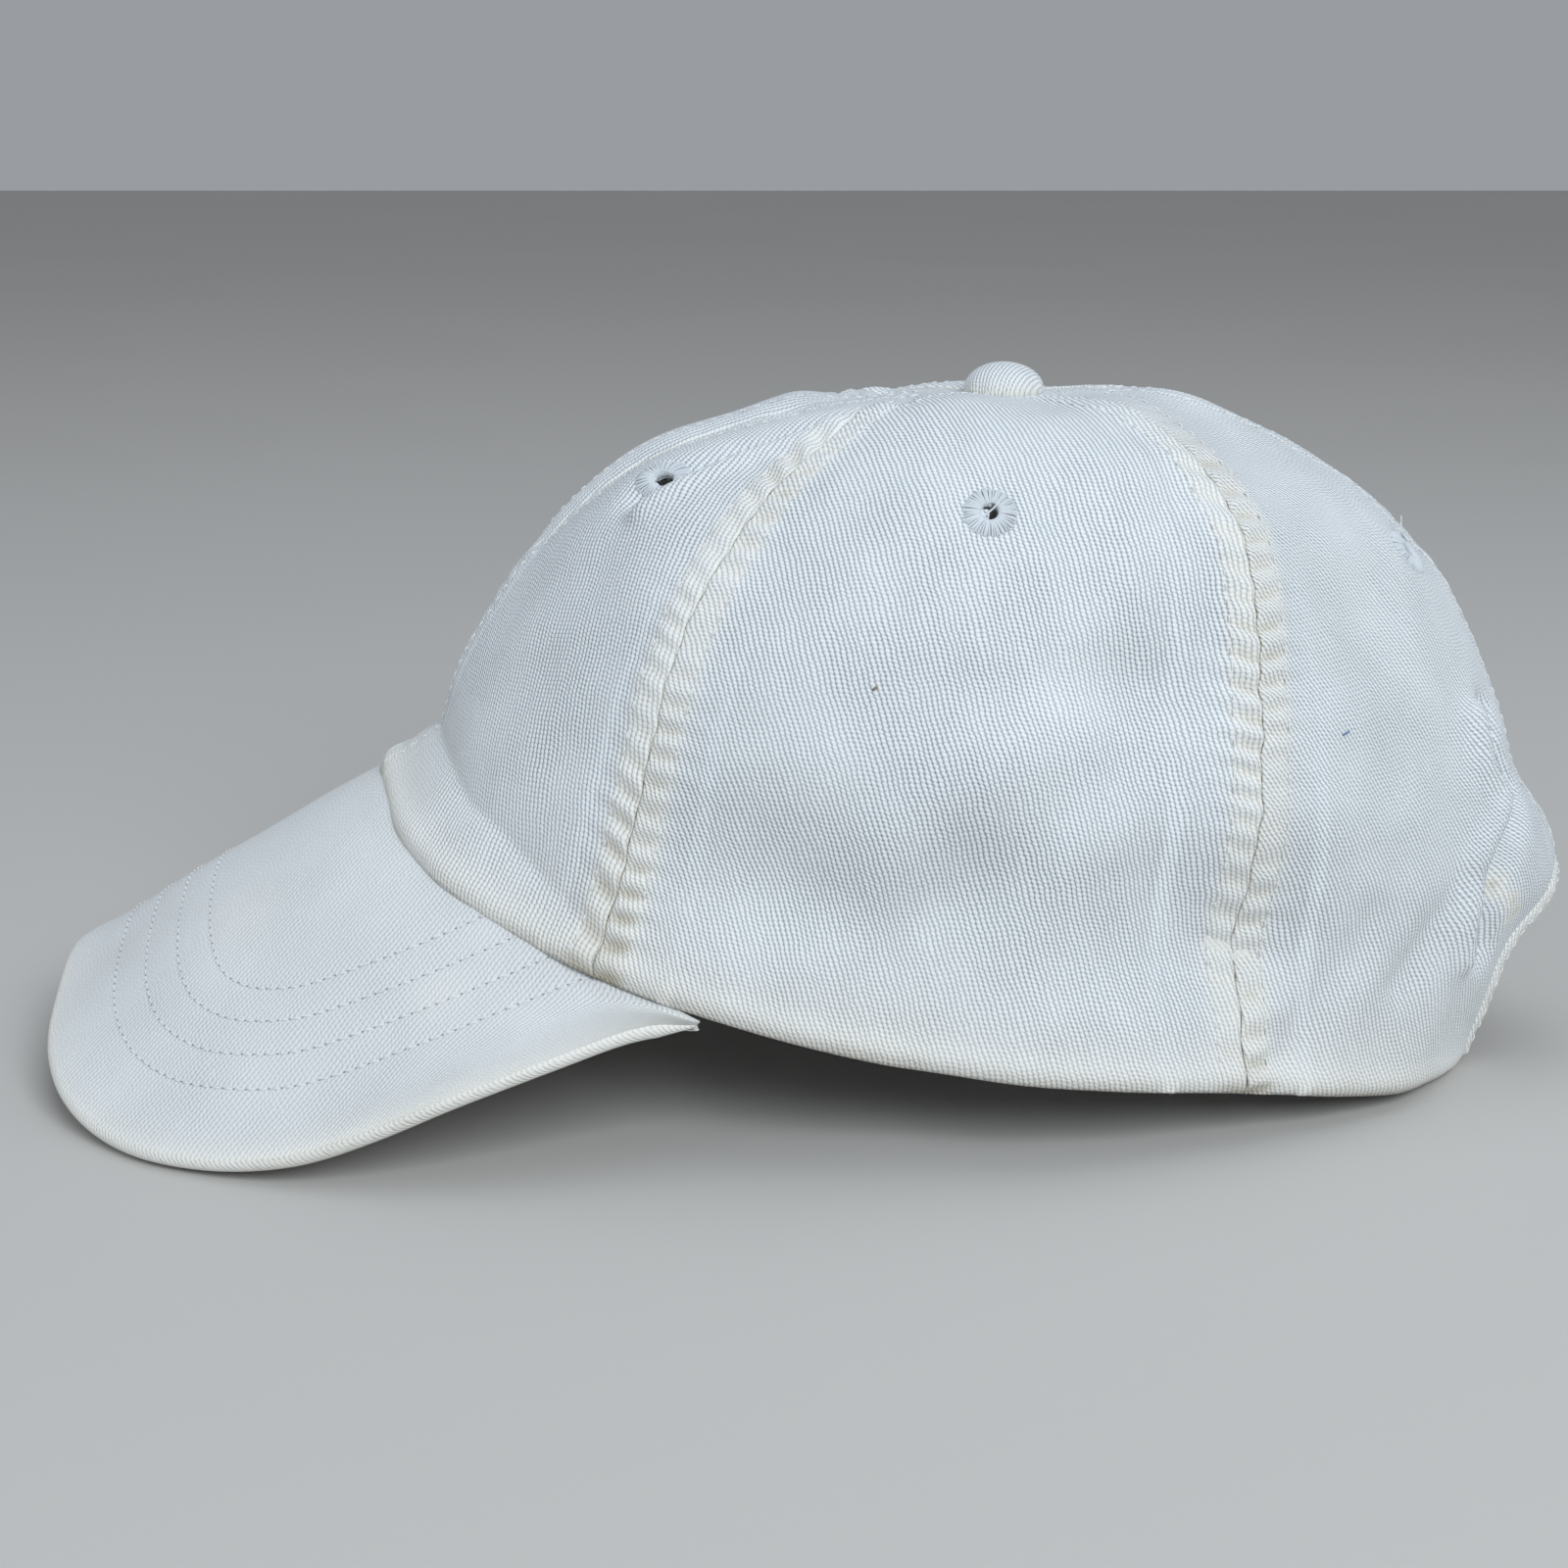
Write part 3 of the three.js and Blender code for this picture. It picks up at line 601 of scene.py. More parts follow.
# Dark grey for small pieces put between the visor's stitches: painted shade in the needle holes.
NEEDLE_HOLE_SHADE = thread_material("needle_hole_shade", (0.30, 0.31, 0.32))
SPECK = thread_material("speck", (0.24, 0.21, 0.15))
BLUE_FIBRE = thread_material("blue_fibre", (0.10, 0.16, 0.38))
LABEL = thread_material("label_cloth", (0.86, 0.86, 0.84))
BRASS = metal_material("antique_brass", (0.62, 0.5, 0.3), (0.3, 0.23, 0.14), 0.36)
STEEL = metal_material("plated_steel", (0.66, 0.66, 0.66), (0.45, 0.44, 0.43), 0.3)
PLASTIC = plastic_material("visor_board", (0.78, 0.79, 0.8))

# ---- crown panels ----
PANELS = [("front", 20.0), ("side", 23.0), ("back", 26.0)]  # with the lean of each one's ribs
PANEL_MIDDLES = (25, 90, 155)  # degrees round the crown
CENTRE_SEAMS = (0, 3)
CENTRE_PUCKERS = 0.14
STAINS = [(158.6, 0.156, 2.2), (161.0, 0.14, 1.6), (162.4, 0.127, 1.9)]  # degrees, share, width
PANEL_ROWS = 205


def arch_inside(x, z, inset=0.0):
    """True inside the arch of the back opening."""
    half, top = ARCH_HALF - inset, ARCH_TOP - inset
    rise = np.clip((z - ARCH_SHOULDER) / (top - ARCH_SHOULDER), 0, 1)
    return (z < top) & (np.abs(x) < half * np.sqrt(np.clip(1 - rise ** 2.1, 0, 1)))


def panel_columns():
    """Places across a panel from 0 to 1, closer together beside its seams."""
    width, band, close, wide = 75.0, 9.0, 0.6, 1.7
    edge = np.concatenate([[0, 0.25], np.arange(0.6, band, close)])
    middle = np.linspace(band, width - band, int((width - 2 * band) / wide))
    return np.concatenate([edge, middle, width - edge[::-1]]) / width


def crown_panel(index, side_name, side):
    """One panel: the crown's shape between two seams, with its folds, puckers, hem, stains and holes, and
    painted shade in its seam lines and pucker hollows.
    """
    name, lean = PANELS[index]
    columns = panel_columns()
    shares = even_shares(math.radians(PANEL_MIDDLES[index]), PANEL_ROWS)
    first, last = EDGES[index](shares), EDGES[index + 1](shares)
    if side < 0:
        first, last = -last, -first
    start_seam, end_seam = (index, index + 1) if side > 0 else (index + 1, index)
    angle = first[:, None] + (last - first)[:, None] * columns[None]
    share = np.repeat(shares[:, None], len(columns), 1)
    across = run_lengths(crown(angle, share), 1)
    width = across[:, -1:]
    angle = angle + side * wander(share, start_seam) * mound(across, 0, 4)
    angle = angle + side * wander(share, end_seam) * mound(width - across, 0, 4)
    smooth, normal = crown(angle, share), crown_normal(angle, share)
    along = run_lengths(smooth, 0)
    relief = cloth_relief(smooth, angle, share)
    yellowing_and_shade = np.zeros_like(relief)
    for away, seam in ((across, start_seam), (width - across, end_seam)):
        strength = np.clip((0.86 - share) * 5, 0.12, 1) * (CENTRE_PUCKERS if seam in CENTRE_SEAMS else 1.0)
        lift, pucker = seam_relief(away, along, 20 + seam * 2 + (away is across), strength)
        relief = relief + lift * np.clip((width - 6) / 16, 0.25, 1)
        hollow = np.clip(-pucker, 0, 1)
        # The band beside each seam is yellowed. Its pucker hollows and the seam line itself are painted
        # browner, as painted shade.
        yellowing_and_shade = yellowing_and_shade + strength * fade(away, SEAM_BAND, 0.7) * (0.24 + 0.36 * hollow)
        yellowing_and_shade = yellowing_and_shade + 0.42 * mound(away, 0, 0.22)
    relief = relief - 0.9 * mound(along, 0, 1.1) + 0.5 * mound(along, 3.0, 2.2)
    relief = relief + 0.28 * np.sin(across / 6.5) * np.exp(-along / 8)
    # Yellower and browner towards the hem.
    yellowing_and_shade = yellowing_and_shade + 0.4 * np.exp(-along / 4) + 0.16 * np.exp(-along / 30)
    for degrees, at, size in STAINS:
        away = np.linalg.norm(smooth - crown(math.radians(degrees), at), axis=-1)
        yellowing_and_shade = yellowing_and_shade + 0.8 * mound(away, 0, size) * (1 + waves(smooth, 3.0, 0.5, 8))
    points = smooth + normal * relief[..., None]
    cloth = turn_cloth(across - width / 2, along[:, len(columns) // 2][:, None] + 0 * across, lean)
    centre = crown(math.radians(EYELETS[index][0]) * side, EYELETS[index][1])
    keep = np.linalg.norm(smooth - centre, axis=-1)[:-1, :-1] > EYELET_HOLE
    if index == 2:
        cut = arch_inside(smooth[..., 0], smooth[..., 2])
        keep &= ~(cut[:-1, :-1] & cut[1:, 1:] & cut[1:, :-1] & cut[:-1, 1:])
        points[cut] -= normal[cut] * 0.3
    faces = grid_faces(*angle.shape, keep=keep)
    add_piece(f"{name}_panel_cloth_{side_name}", points, faces, TWILL, cloth, np.clip(yellowing_and_shade, 0, 1),
              nodes=(f"{name}_panel_{side_name}",), thick=CLOTH)
    return dict(points=points, normals=normal, across=across, width=width, along=along)


def row_beside(panel, from_start):
    """Points and normals of the stitch row beside one edge of a panel, from the hem up to the button."""
    line, normals = [], []
    for i in range(len(panel["across"])):
        width = panel["width"][i, 0]
        if width < SEAM_ROW * 2 + 1 or panel["along"][i, 0] < 2.0:
            continue
        at = SEAM_ROW if from_start else width - SEAM_ROW
        line.append([np.interp(at, panel["across"][i], panel["points"][i, :, k]) for k in range(3)])
        normals.append([np.interp(at, panel["across"][i], panel["normals"][i, :, k]) for k in range(3)])
    return np.array(line), np.array(normals)


def build_crown():
    """The six panels and the stitch rows beside their seams."""
    lines, normals = [], []
    for side_name, side in (("left", 1), ("right", -1)):
        for index in range(3):
            panel = crown_panel(index, side_name, side)
            for from_start in (True, False):
                line, normal = row_beside(panel, from_start)
                clear = ~arch_inside(line[:, 0], line[:, 2], -2) | (line[:, 1] < 60)
                lines.append(line[clear])
                normals.append(normal[clear])
    stitches("crown_seam_stitches", lines, normals, THREAD, length=1.9, gap=0.9, radius=0.2, lift=-0.02)


# ---- eyelets ----
def on_cloth(degrees, share, side):
    """A function that sets places beside a point of the crown, in millimetres, down on its cloth."""
    angle, step = math.radians(degrees) * side, 1e-3
    per_angle = np.linalg.norm(crown(angle + step, share) - crown(angle, share)) / step
    per_share = np.linalg.norm(crown(angle, share + step) - crown(angle, share)) / step

    def place(across, up, lift):
        across, up, lift = np.broadcast_arrays(*[np.asarray(v, float) for v in (across, up, lift)])
        angles, shares = angle + across / per_angle, share + up / per_share
        smooth = crown(angles, shares)
        stand = cloth_relief(smooth, angles, shares) + lift
        return smooth + crown_normal(angles, shares) * stand[..., None]

    return place


def eyelet(index, side_name, side):
    """An embroidered ring: radial loops of thread over a padded core."""
    place = on_cloth(*EYELETS[index], side)
    name = f"{PANELS[index][0]}_eyelet"
    rng = np.random.default_rng(40 + index + (5 if side < 0 else 0))
    reach = np.array([1.55, 1.5, 1.75, 2.5, 3.5, 4.4, 4.9])
    lift = np.array([-0.9, -0.1, 0.32, 0.52, 0.46, 0.26, -0.3])
    tubes = []
    loops = 60
    for k in range(loops):
        turn = (k + rng.uniform(-0.15, 0.15)) * 2 * math.pi / loops
        turn = turn + np.linspace(0, rng.uniform(-0.05, 0.05), len(reach))
        size = reach * (1 + rng.uniform(-0.035, 0.025) * (reach > 3))
        path = place(size * np.cos(turn), size * np.sin(turn), lift)
        tubes.append(thread_tube(path, np.linspace(0.1, 0.21, len(reach)) * rng.uniform(0.92, 1.08)))
    around = turns(40)
    core = np.stack([place(r * np.cos(around), r * np.sin(around), h) for r, h in
                     ((1.6, -1.2), (1.6, 0.0), (3.0, 0.25), (4.6, -0.05), (4.8, -1.0))])
    faces = grid_faces(len(core), len(around), closed=True)[:, ::-1]
    add_piece(f"{name}_core_{side_name}", core, faces, EYELET_THREAD)
    if (index, side) == (1, 1):  # a loose thread across the hole
        f = np.linspace(-1, 1, 9)
        tubes.append(thread_tube(place(2.0 * f, 2.3 * f, 0.55 - 0.25 * np.cos(f * 1.5)), 0.17))
    if (index, side) == (2, 1):  # a few frayed ends that stand up
        f = np.linspace(0.4, 1, 7)
        for k in range(4):
            rise = 0.4 + (1.0 + 0.4 * k) * f ** 1.5 + 0.4 * np.sin(4 * f + k)
            tubes.append(thread_tube(place((1.5 + 0.6 * k) * f, (3.4 + 0.9 * k) * f, rise), 0.11))
    threads = tubes_piece(f"{name}_threads_{side_name}", tubes, EYELET_THREAD)
    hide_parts(f"{name}_{side_name}")


def specks():
    """Small marks of wear on the side that is seen most: two specks and a blue fibre."""
    for number, (degrees, share) in enumerate(((84.3, 0.298), (121.7, 0.12))):
        place = on_cloth(degrees, share, 1)
        f = np.linspace(-1, 1, 5)
        path = place(0.35 * f, 0.25 * f, 0.1 - 0.2 * f ** 2)
        tubes_piece(f"speck_{number}", [thread_tube(path, 0.26)], SPECK)
    place = on_cloth(137.3, 0.298, 1)
    f = np.linspace(-1, 1, 7)
    tubes_piece("blue_fibre", [thread_tube(place(1.0 * f, 0.45 * f, 0.12 - 0.2 * f ** 4), 0.16)], BLUE_FIBRE)


# ---- bands and tapes inside the crown ----
def inner_relief(points, angle, share, most=1.2):
    """How far the cloth inside follows the crown's folds."""
    return 0.8 * np.minimum(cloth_relief(points, angle, share), most)


def inner_strip(name, angles, shares, depth, thick, material, nodes, lean, keep=None, curl=0.0):
    """A strip of cloth under the crown. angles is [row][column] in radians, shares one per row."""
    share = np.repeat(np.asarray(shares, float)[:, None], angles.shape[1], 1)
    smooth = crown(angles, share)
    relief = inner_relief(smooth, angles, share)
    across, along = run_lengths(smooth, 1), run_lengths(smooth, 0)
    width = across[:, -1:]
    if curl:
        relief = relief - curl * (mound(across, 0, 0.9) + mound(across, width, 0.9))
    points = smooth + crown_normal(angles, share) * (relief - depth)[..., None]
    cloth = turn_cloth(across - width / 2, along, lean)
    faces = grid_faces(*angles.shape, keep=keep(smooth) if keep else None)
    age_and_shade = np.clip(0.5 * np.exp(-along / 8) + 0.15, 0, 1)
    add_piece(name, points, faces, material, cloth, age_and_shade, nodes=nodes, thick=thick)


def side_tape(which, side_name, side):
    """The tape over a side seam."""
    shares = even_shares(math.radians((57, 130)[which]), 90, 0.85)
    middle = seam_angle(which, shares) * side
    step = 1e-3
    near = np.linalg.norm(crown(middle + step, shares) - crown(middle - step, shares), axis=1)
    spread = TAPE_HALF * 2 * step / near
    angles = middle[:, None] + spread[:, None] * np.linspace(-1, 1, 15)[None]
    place = ("front", "back")[which]
    inner_strip(f"{place}_tape_cloth_{side_name}", angles, shares, 1.3, 0.5, TAPE_CLOTH,
                (f"{place}_seam_tape_{side_name}",), TAPE_TWIST, curl=0.2)


def middle_tape():
    """The long tape over the head, front to back."""
    front = even_shares(0.0, 90, 0.965)
    back = even_shares(math.pi, 110, 0.965)
    back = back[crown(math.pi, back)[:, 2] > ARCH_TOP + 2][::-1]
    share = np.concatenate([front, back])
    angle = np.concatenate([0 * front, 0 * back + math.pi])
    line, normal = crown(angle, share), crown_normal(angle, share)
    centre = line + normal * (inner_relief(line, angle, share, 0.8) - 1.7)[:, None]
    offsets = np.linspace(-TAPE_HALF, TAPE_HALF, 13)
    points = centre[:, None] + offsets[None, :, None] * np.array([1.0, 0, 0]) \
        - normal[:, None] * (offsets[None, :, None] ** 2) * 0.006
    cloth = turn_cloth(*np.broadcast_arrays(offsets[None], run_along(centre)[:, None]), TAPE_TWIST)
    faces = grid_faces(*points.shape[:2])[:, ::-1]
    add_piece("middle_tape_cloth", points, faces, TAPE_CLOTH, cloth, 0.15,
              nodes=("middle_seam_tape",), thick=0.5)


def sweatband():
    """The band inside the opening, as far as the arch, with a row of stitches along each edge."""
    shares = even_shares(math.radians(90), 46, 0.152)
    angles = np.repeat(np.radians(np.linspace(-146.5, 146.5, 420))[None], len(shares), 0)

    def keep(places):
        return ~(arch_inside(places[..., 0], places[..., 2], -0.5) & (places[..., 1] > 60))[:-1, :-1]

    inner_strip("sweatband_cloth", angles, shares, 2.6, 0.9, TWILL_INSIDE, ("sweatband",),
                0.0, keep)
    lines, normals = [], []
    ring = np.radians(np.linspace(-143, 143, 400))
    for share in (shares[3], shares[-4]):
        smooth, normal = crown(ring, share), -crown_normal(ring, share)
        lines.append(smooth + normal * (3.55 - inner_relief(smooth, ring, share))[:, None])
        normals.append(normal)
    stitches("sweatband_stitches", lines, normals, THREAD, length=2.4, gap=0.8, radius=0.22, lift=0.0)


def care_label():
    """A blank label sewn inside the sweatband."""
    rows = np.linspace(0.035, 0.14, 24)
    angles = np.repeat(np.radians(np.linspace(-119, -105, 30))[None], len(rows), 0)
    inner_strip("label_cloth_patch", angles, rows, 3.9, 0.4, LABEL, ("care_label",), 0.0)


# ---- back opening ----
def on_back(x, z):
    """The angle and share at which the back of the crown passes through x and z."""
    angle, share = math.pi - np.asarray(x, float) / 75.0, np.clip(np.asarray(z, float) / 190.0, 0.01, 0.5)
    step = 1e-4
    for _ in range(25):
        here = crown(angle, share)
        by_angle = (crown(angle + step, share) - here) / step
        by_share = (crown(angle, share + step) - here) / step
        off_x, off_z = x - here[..., 0], z - here[..., 2]
        area = by_angle[..., 0] * by_share[..., 2] - by_share[..., 0] * by_angle[..., 2]
        turn = (off_x * by_share[..., 2] - off_z * by_share[..., 0]) / area
        climb = (off_z * by_angle[..., 0] - off_x * by_angle[..., 2]) / area
        angle = angle + np.clip(turn, -0.2, 0.2)
        share = np.clip(share + np.clip(climb, -0.1, 0.1), 0.0, 0.9)
    return angle, share


def arch_path():
    """Evenly spaced places along the arch of the back opening, from foot to foot."""
    count, foot_count = 150, 12
    turn = np.linspace(0, math.pi, count - 2 * foot_count)
    rise = np.sin(turn)
    x = ARCH_HALF * np.sign(np.cos(turn)) * np.sqrt(np.clip(1 - rise ** 2.1, 0, 1))
    z = ARCH_SHOULDER + (ARCH_TOP - ARCH_SHOULDER) * rise
    foot = np.linspace(2.0, ARCH_SHOULDER, foot_count + 1)[:-1]
    x = np.concatenate([0 * foot + ARCH_HALF, x, 0 * foot - ARCH_HALF])
    z = np.concatenate([foot, z, foot[::-1]])
    run = run_along(np.stack([x, z], 1))
    even = np.linspace(0, run[-1], count)
    return np.interp(even, run, x), np.interp(even, run, z)


def opening_binding():
    """A folded twill binding sewn round the arch."""
    angle, share = on_back(*arch_path())
    smooth, normal = crown(angle, share), crown_normal(angle, share)
    centre = smooth + normal * (cloth_relief(smooth, angle, share) - 0.4)[:, None]
    side = unit(np.cross(normal, unit(np.gradient(centre, axis=0))))
    around = turns(16)
    wide, high = 2.7 * squared(np.cos(around), 0.7), 1.25 * squared(np.sin(around), 0.8)
    run = run_along(centre)
    ripple = 0.12 * np.sin(run / 1.1)
    ring = centre[:, None] + wide[None, :, None] * side[:, None]
    ring = ring + (high[None, :] + ripple[:, None])[..., None] * normal[:, None]
    cloth = turn_cloth(*np.broadcast_arrays(around[None] * 2.2, run[:, None]), TAPE_TWIST)
    add_piece("opening_binding_cloth", ring, tube_faces(*ring.shape[:2]), TWILL, cloth, 0.4,
              nodes=("back_opening_binding",))
    line = centre + normal * 1.15 + side * 1.5
    stitches("binding_stitches", [line], [normal], THREAD, 2.0, 0.8, 0.2, 0.0)


# ---- button ----
def button_cover():
    """Twill drawn over a domed shell and gathered underneath."""
    low, high = box_of("button_cover")
    radius, height, seat = (high[0] - low[0]) / 2, high[2] - low[2], low[2]
    rings = [(0.02, 1.0)] + [(math.sin(t), math.cos(t)) for t in np.linspace(0.12, math.pi / 2, 16)]
    rings += [(1.0, -0.12), (0.93, -0.24), (0.8, -0.3)]
    columns = 72
    turn = turns(columns)
    points, cloth = [], []
    for r, h in rings:
        pleat = 1 + 0.018 * np.sin(turn * 12 + 0.6) * max(0, 1 - abs(h)) + 0.01 * np.sin(turn * 5)
        x, y = radius * r * pleat * np.cos(turn), radius * r * pleat * np.sin(turn)
        z = seat + height * (h * 0.97 if h > 0 else h) + 0 * turn
        points.append(np.stack([x, APEX_Y + y, z], -1))
        spread = 1 + 0.35 * (1 - max(h, 0))
        cloth.append(turn_cloth(x * spread, y * spread, 62))
    points, cloth = np.array(points), np.array(cloth)
    faces = grid_faces(len(rings), columns, closed=True)[:, ::-1].tolist()
    faces.append(list(range(columns)))
    # Yellower and browner towards the gathered underside.
    age_and_shade = np.repeat(np.array([0.05 + 0.5 * (1 - max(h, 0)) ** 3 for _, h in rings])[:, None], columns, 1)
    add_piece("button_cloth", points, faces, TWILL, cloth, age_and_shade, nodes=("button_cover",), thick=0.5)


# ---- visor ----
def smooth_path(stops, places):
    """A centripetal Catmull-Rom curve, its places counted in stops and running from 0 to 1."""
    stops = np.asarray(stops, float)
    extended = np.concatenate([[2 * stops[0] - stops[1]], stops, [2 * stops[-1] - stops[-2]]])
    at = np.clip(np.asarray(places, float), 0, 1) * (len(stops) - 1)
    i = np.minimum(np.floor(at).astype(int), len(stops) - 2)
    f = (at - i)[..., None]
    p = [extended[i + k] for k in range(4)]
    d = [np.maximum(np.linalg.norm(p[k + 1] - p[k], axis=-1, keepdims=True) ** 0.5, 1e-4) for k in range(3)]
    m1 = ((p[1] - p[0]) / d[0] - (p[2] - p[0]) / (d[0] + d[1]) + (p[2] - p[1]) / d[1]) * d[1]
    m2 = ((p[2] - p[1]) / d[1] - (p[3] - p[1]) / (d[1] + d[2]) + (p[3] - p[2]) / d[2]) * d[1]
    return (2 * f ** 3 - 3 * f ** 2 + 1) * p[1] + (f ** 3 - 2 * f ** 2 + f) * m1 \
        + (3 * f ** 2 - 2 * f ** 3) * p[2] + (f ** 3 - f ** 2) * m2


WHOLE_EDGE = np.concatenate([VISOR_EDGE[:0:-1] * [-1, 1, 1], VISOR_EDGE])


def visor(along, out):
    """The visor's top face: along its seam from -1 to 1, out from the seam to the edge from 0 to 1."""
    along, out = np.broadcast_arrays(np.asarray(along, float), np.asarray(out, float))
    seam = rim_point(np.radians(VISOR_END) * along)
    away = seam - np.array([0, CROWN_MIDDLE_Y, 0])
    away[..., 2] = 0
    seam = seam + 0.5 * unit(away) - np.array([0, 0, 0.6])
    edge = smooth_path(WHOLE_EDGE, (along + 1) / 2)
    return seam + (edge - seam) * out[..., None]


def visor_normal(along, out):
    step = 2e-3
    a, o = np.clip(along, step - 1, 1 - step), np.clip(out, step, 1 - step)
    across = visor(a + step, o) - visor(a - step, o)
    outward = visor(a, o + step) - visor(a, o - step)
    return unit(np.cross(outward, across))


def visor_top():
    """The top cloth: its flat face, the fold round the board's edge, and the part tucked in below."""
    columns, flat_rows, bend_steps = 330, 90, 12
    along = np.linspace(1, -1, columns)
    length = np.linalg.norm(visor(along, 1.0) - visor(along, 0.0), axis=1)
    round_size = VISOR_EDGE_ROUND * np.clip(length / 5, 0.3, 1)
    end = 1 - np.minimum(round_size / np.maximum(length, 1), 0.5)
    tuck = -2.5 / np.maximum(length, 12)
    edge_line = visor(np.linspace(-1, 1, 700), 1.0)
    rows, ages, away_all = [], [], []
    for f in np.linspace(0, 1, flat_rows):
        out = tuck + (end - tuck) * f
        base, normal = visor(along, out), visor_normal(along, out)
        away = np.min(np.linalg.norm(base[:, None] - edge_line[None], axis=2), axis=1)
        relief = waves(base, 45, 0.35, 11) + 0.25 * mound(away, 4, 3.0)
        for row in VISOR_ROWS:
            relief = relief - 0.13 * mound(away, row, 0.7)
        rows.append(base + normal * relief[:, None])
        away_all.append(away)
        # Yellower towards the edge and round it, with two faint yellow patches on the face.
        age_and_shade = 0.04 + 0.34 * np.exp(-(away - round_size) / 2.2)
        for middle, size in ((visor(0.2, 0.42), 7), (visor(0.62, 0.3), 5)):
            age_and_shade = age_and_shade + 0.1 * mound(np.linalg.norm(base - middle, axis=1), 0, size)
        ages.append(age_and_shade)
    for turn in np.radians(np.linspace(90, -90, bend_steps + 1)[1:]):
        base, normal = visor(along, end), visor_normal(along, end)
        outward = unit(visor(along, end + 0.01) - base)
        bend = math.cos(turn) * outward + (math.sin(turn) - 1) * normal
        rows.append(base + round_size[:, None] * bend + normal * waves(base, 45, 0.35, 11)[:, None])
        ages.append(0.42 + 0 * along)
    for back in (0.8, 1.6, 2.3):
        out = end - np.minimum(back, length * 0.3) / np.maximum(length, 1)
        rows.append(visor(along, out) - visor_normal(along, out) * (2 * round_size)[:, None])
        ages.append(0.3 + 0 * along)
    points = np.array(rows)
    run = run_lengths(points, 0)
    steps = np.hypot(np.diff(points[..., 0], axis=1), np.diff(points[..., 2], axis=1))
    sideways = np.concatenate([np.zeros((len(rows), 1)), -np.cumsum(steps, axis=1)], 1)
    sideways = sideways - sideways[:, columns // 2][:, None]
    cloth = turn_cloth(sideways, points[..., 1] - np.maximum(run - run[flat_rows - 1], 0), VISOR_LEAN)
    add_piece("visor_top_cloth", points, grid_faces(*points.shape[:2]), VISOR_TWILL_SHADED, cloth, np.array(ages),
              nodes=("visor_top_cover",), thick=0.6)
    return along, np.array(rows[:flat_rows]), np.array(away_all)


def visor_stitch_rows(along, rows, away):
    """The visor's rows of stitches, each a fixed distance in from its edge, and small dark pieces of painted
    shade in the gaps between the stitches, where the needle holes are.
    """
    lines, normals = [], []
    for distance in VISOR_ROWS:
        line = []
        for j in range(len(along)):
            column = away[::-1, j]
            if column[-1] > distance:
                line.append([np.interp(distance, column, rows[::-1, j, k]) for k in range(3)])
        line = np.array(line)
        lines.append(line)
        ahead = unit(np.gradient(line, axis=0))
        middle = line.mean(0) - np.array([0, 0, 30.0])
        outward = unit(line - middle)
        normals.append(unit(outward - ahead * np.sum(outward * ahead, axis=1, keepdims=True)))
    stitches("visor_stitches", lines, normals, VISOR_THREAD, length=1.75, gap=0.55, radius=0.2, lift=-0.02)
    # Painted shade: small dark lengths in the gaps between the stitches, where the needle holes are.
    stitches("visor_needle_hole_shade", lines, normals, NEEDLE_HOLE_SHADE, length=0.75, gap=1.55, radius=0.17, lift=-0.12,
             offset=1.55)


def visor_under():
    """The cloth under the visor."""
    columns, count = 200, 40
    along = np.linspace(1, -1, columns)
    length = np.linalg.norm(visor(along, 1.0) - visor(along, 0.0), axis=1)
    points = []
    for f in np.linspace(0, 1, count):
        out = (1 - 2.4 / np.maximum(length, 3.5)) * f
        points.append(visor(along, out) - visor_normal(along, out) * VISOR_UNDER_DEPTH)
    points = np.array(points)
    cloth = turn_cloth(points[..., 0] * 1.3, points[..., 1], -50)
    faces = grid_faces(count, columns)[:, ::-1]
    add_piece("visor_under_cloth", points, faces, TWILL_INSIDE, cloth, 0.25,
              nodes=("visor_under_cover",), thick=0.4)


# ---- strap, keeper and clasp ----
def strap_band(node):
    """A folded twill strap with rounded edges and a row of stitches along each."""
    low, high = box_of(node)
    straight, drop, end = 28.0, 2.5, 35.2  # half of the flat middle, and how the ends turn in
    deep = high[1] - low[1]
    thickness = deep - drop if deep > 2 else deep
    middle_y = high[1] - thickness / 2 - SHIFT_Y
    columns, sides = 160, 32
    x = np.linspace(low[0], high[0], columns)
    y = middle_y - drop * (np.maximum(np.abs(x) - straight, 0) / (end - straight)) ** 2
    around = turns(sides)
    half_high, half_thick = (high[2] - low[2]) / 2, 0.5
    up = (low[2] + high[2]) / 2 + half_high * squared(np.sin(around), 0.35)
    out = half_thick * squared(np.cos(around), 0.5)
    ripple = 0.08 * np.sin(x / 1.6)[:, None] * (np.abs(np.cos(around)) > 0.3)[None]
    points = np.stack(np.broadcast_arrays(x[:, None], y[:, None] + out[None] + ripple, up[None]), -1)
    cloth = turn_cloth(points[..., 0], points[..., 2], 40)
    faces = [face[::-1] for face in tube_faces(columns, sides)]
    add_piece(f"{node}_cloth", points, faces, TWILL, cloth, 0.3, nodes=(node,))
    lines, normals = [], []
    for edge in (low[2] + 1.6, high[2] - 1.6):
        for face in (1, -1):
            lines.append(np.stack([x, y + face * half_thick, 0 * x + edge], 1))
            normals.append(np.stack([0 * x, 0 * x + face, 0 * x], 1))
    stitches(f"{node}_cloth_stitches", lines, normals, THREAD, 2.1, 0.8, 0.18, 0.02)


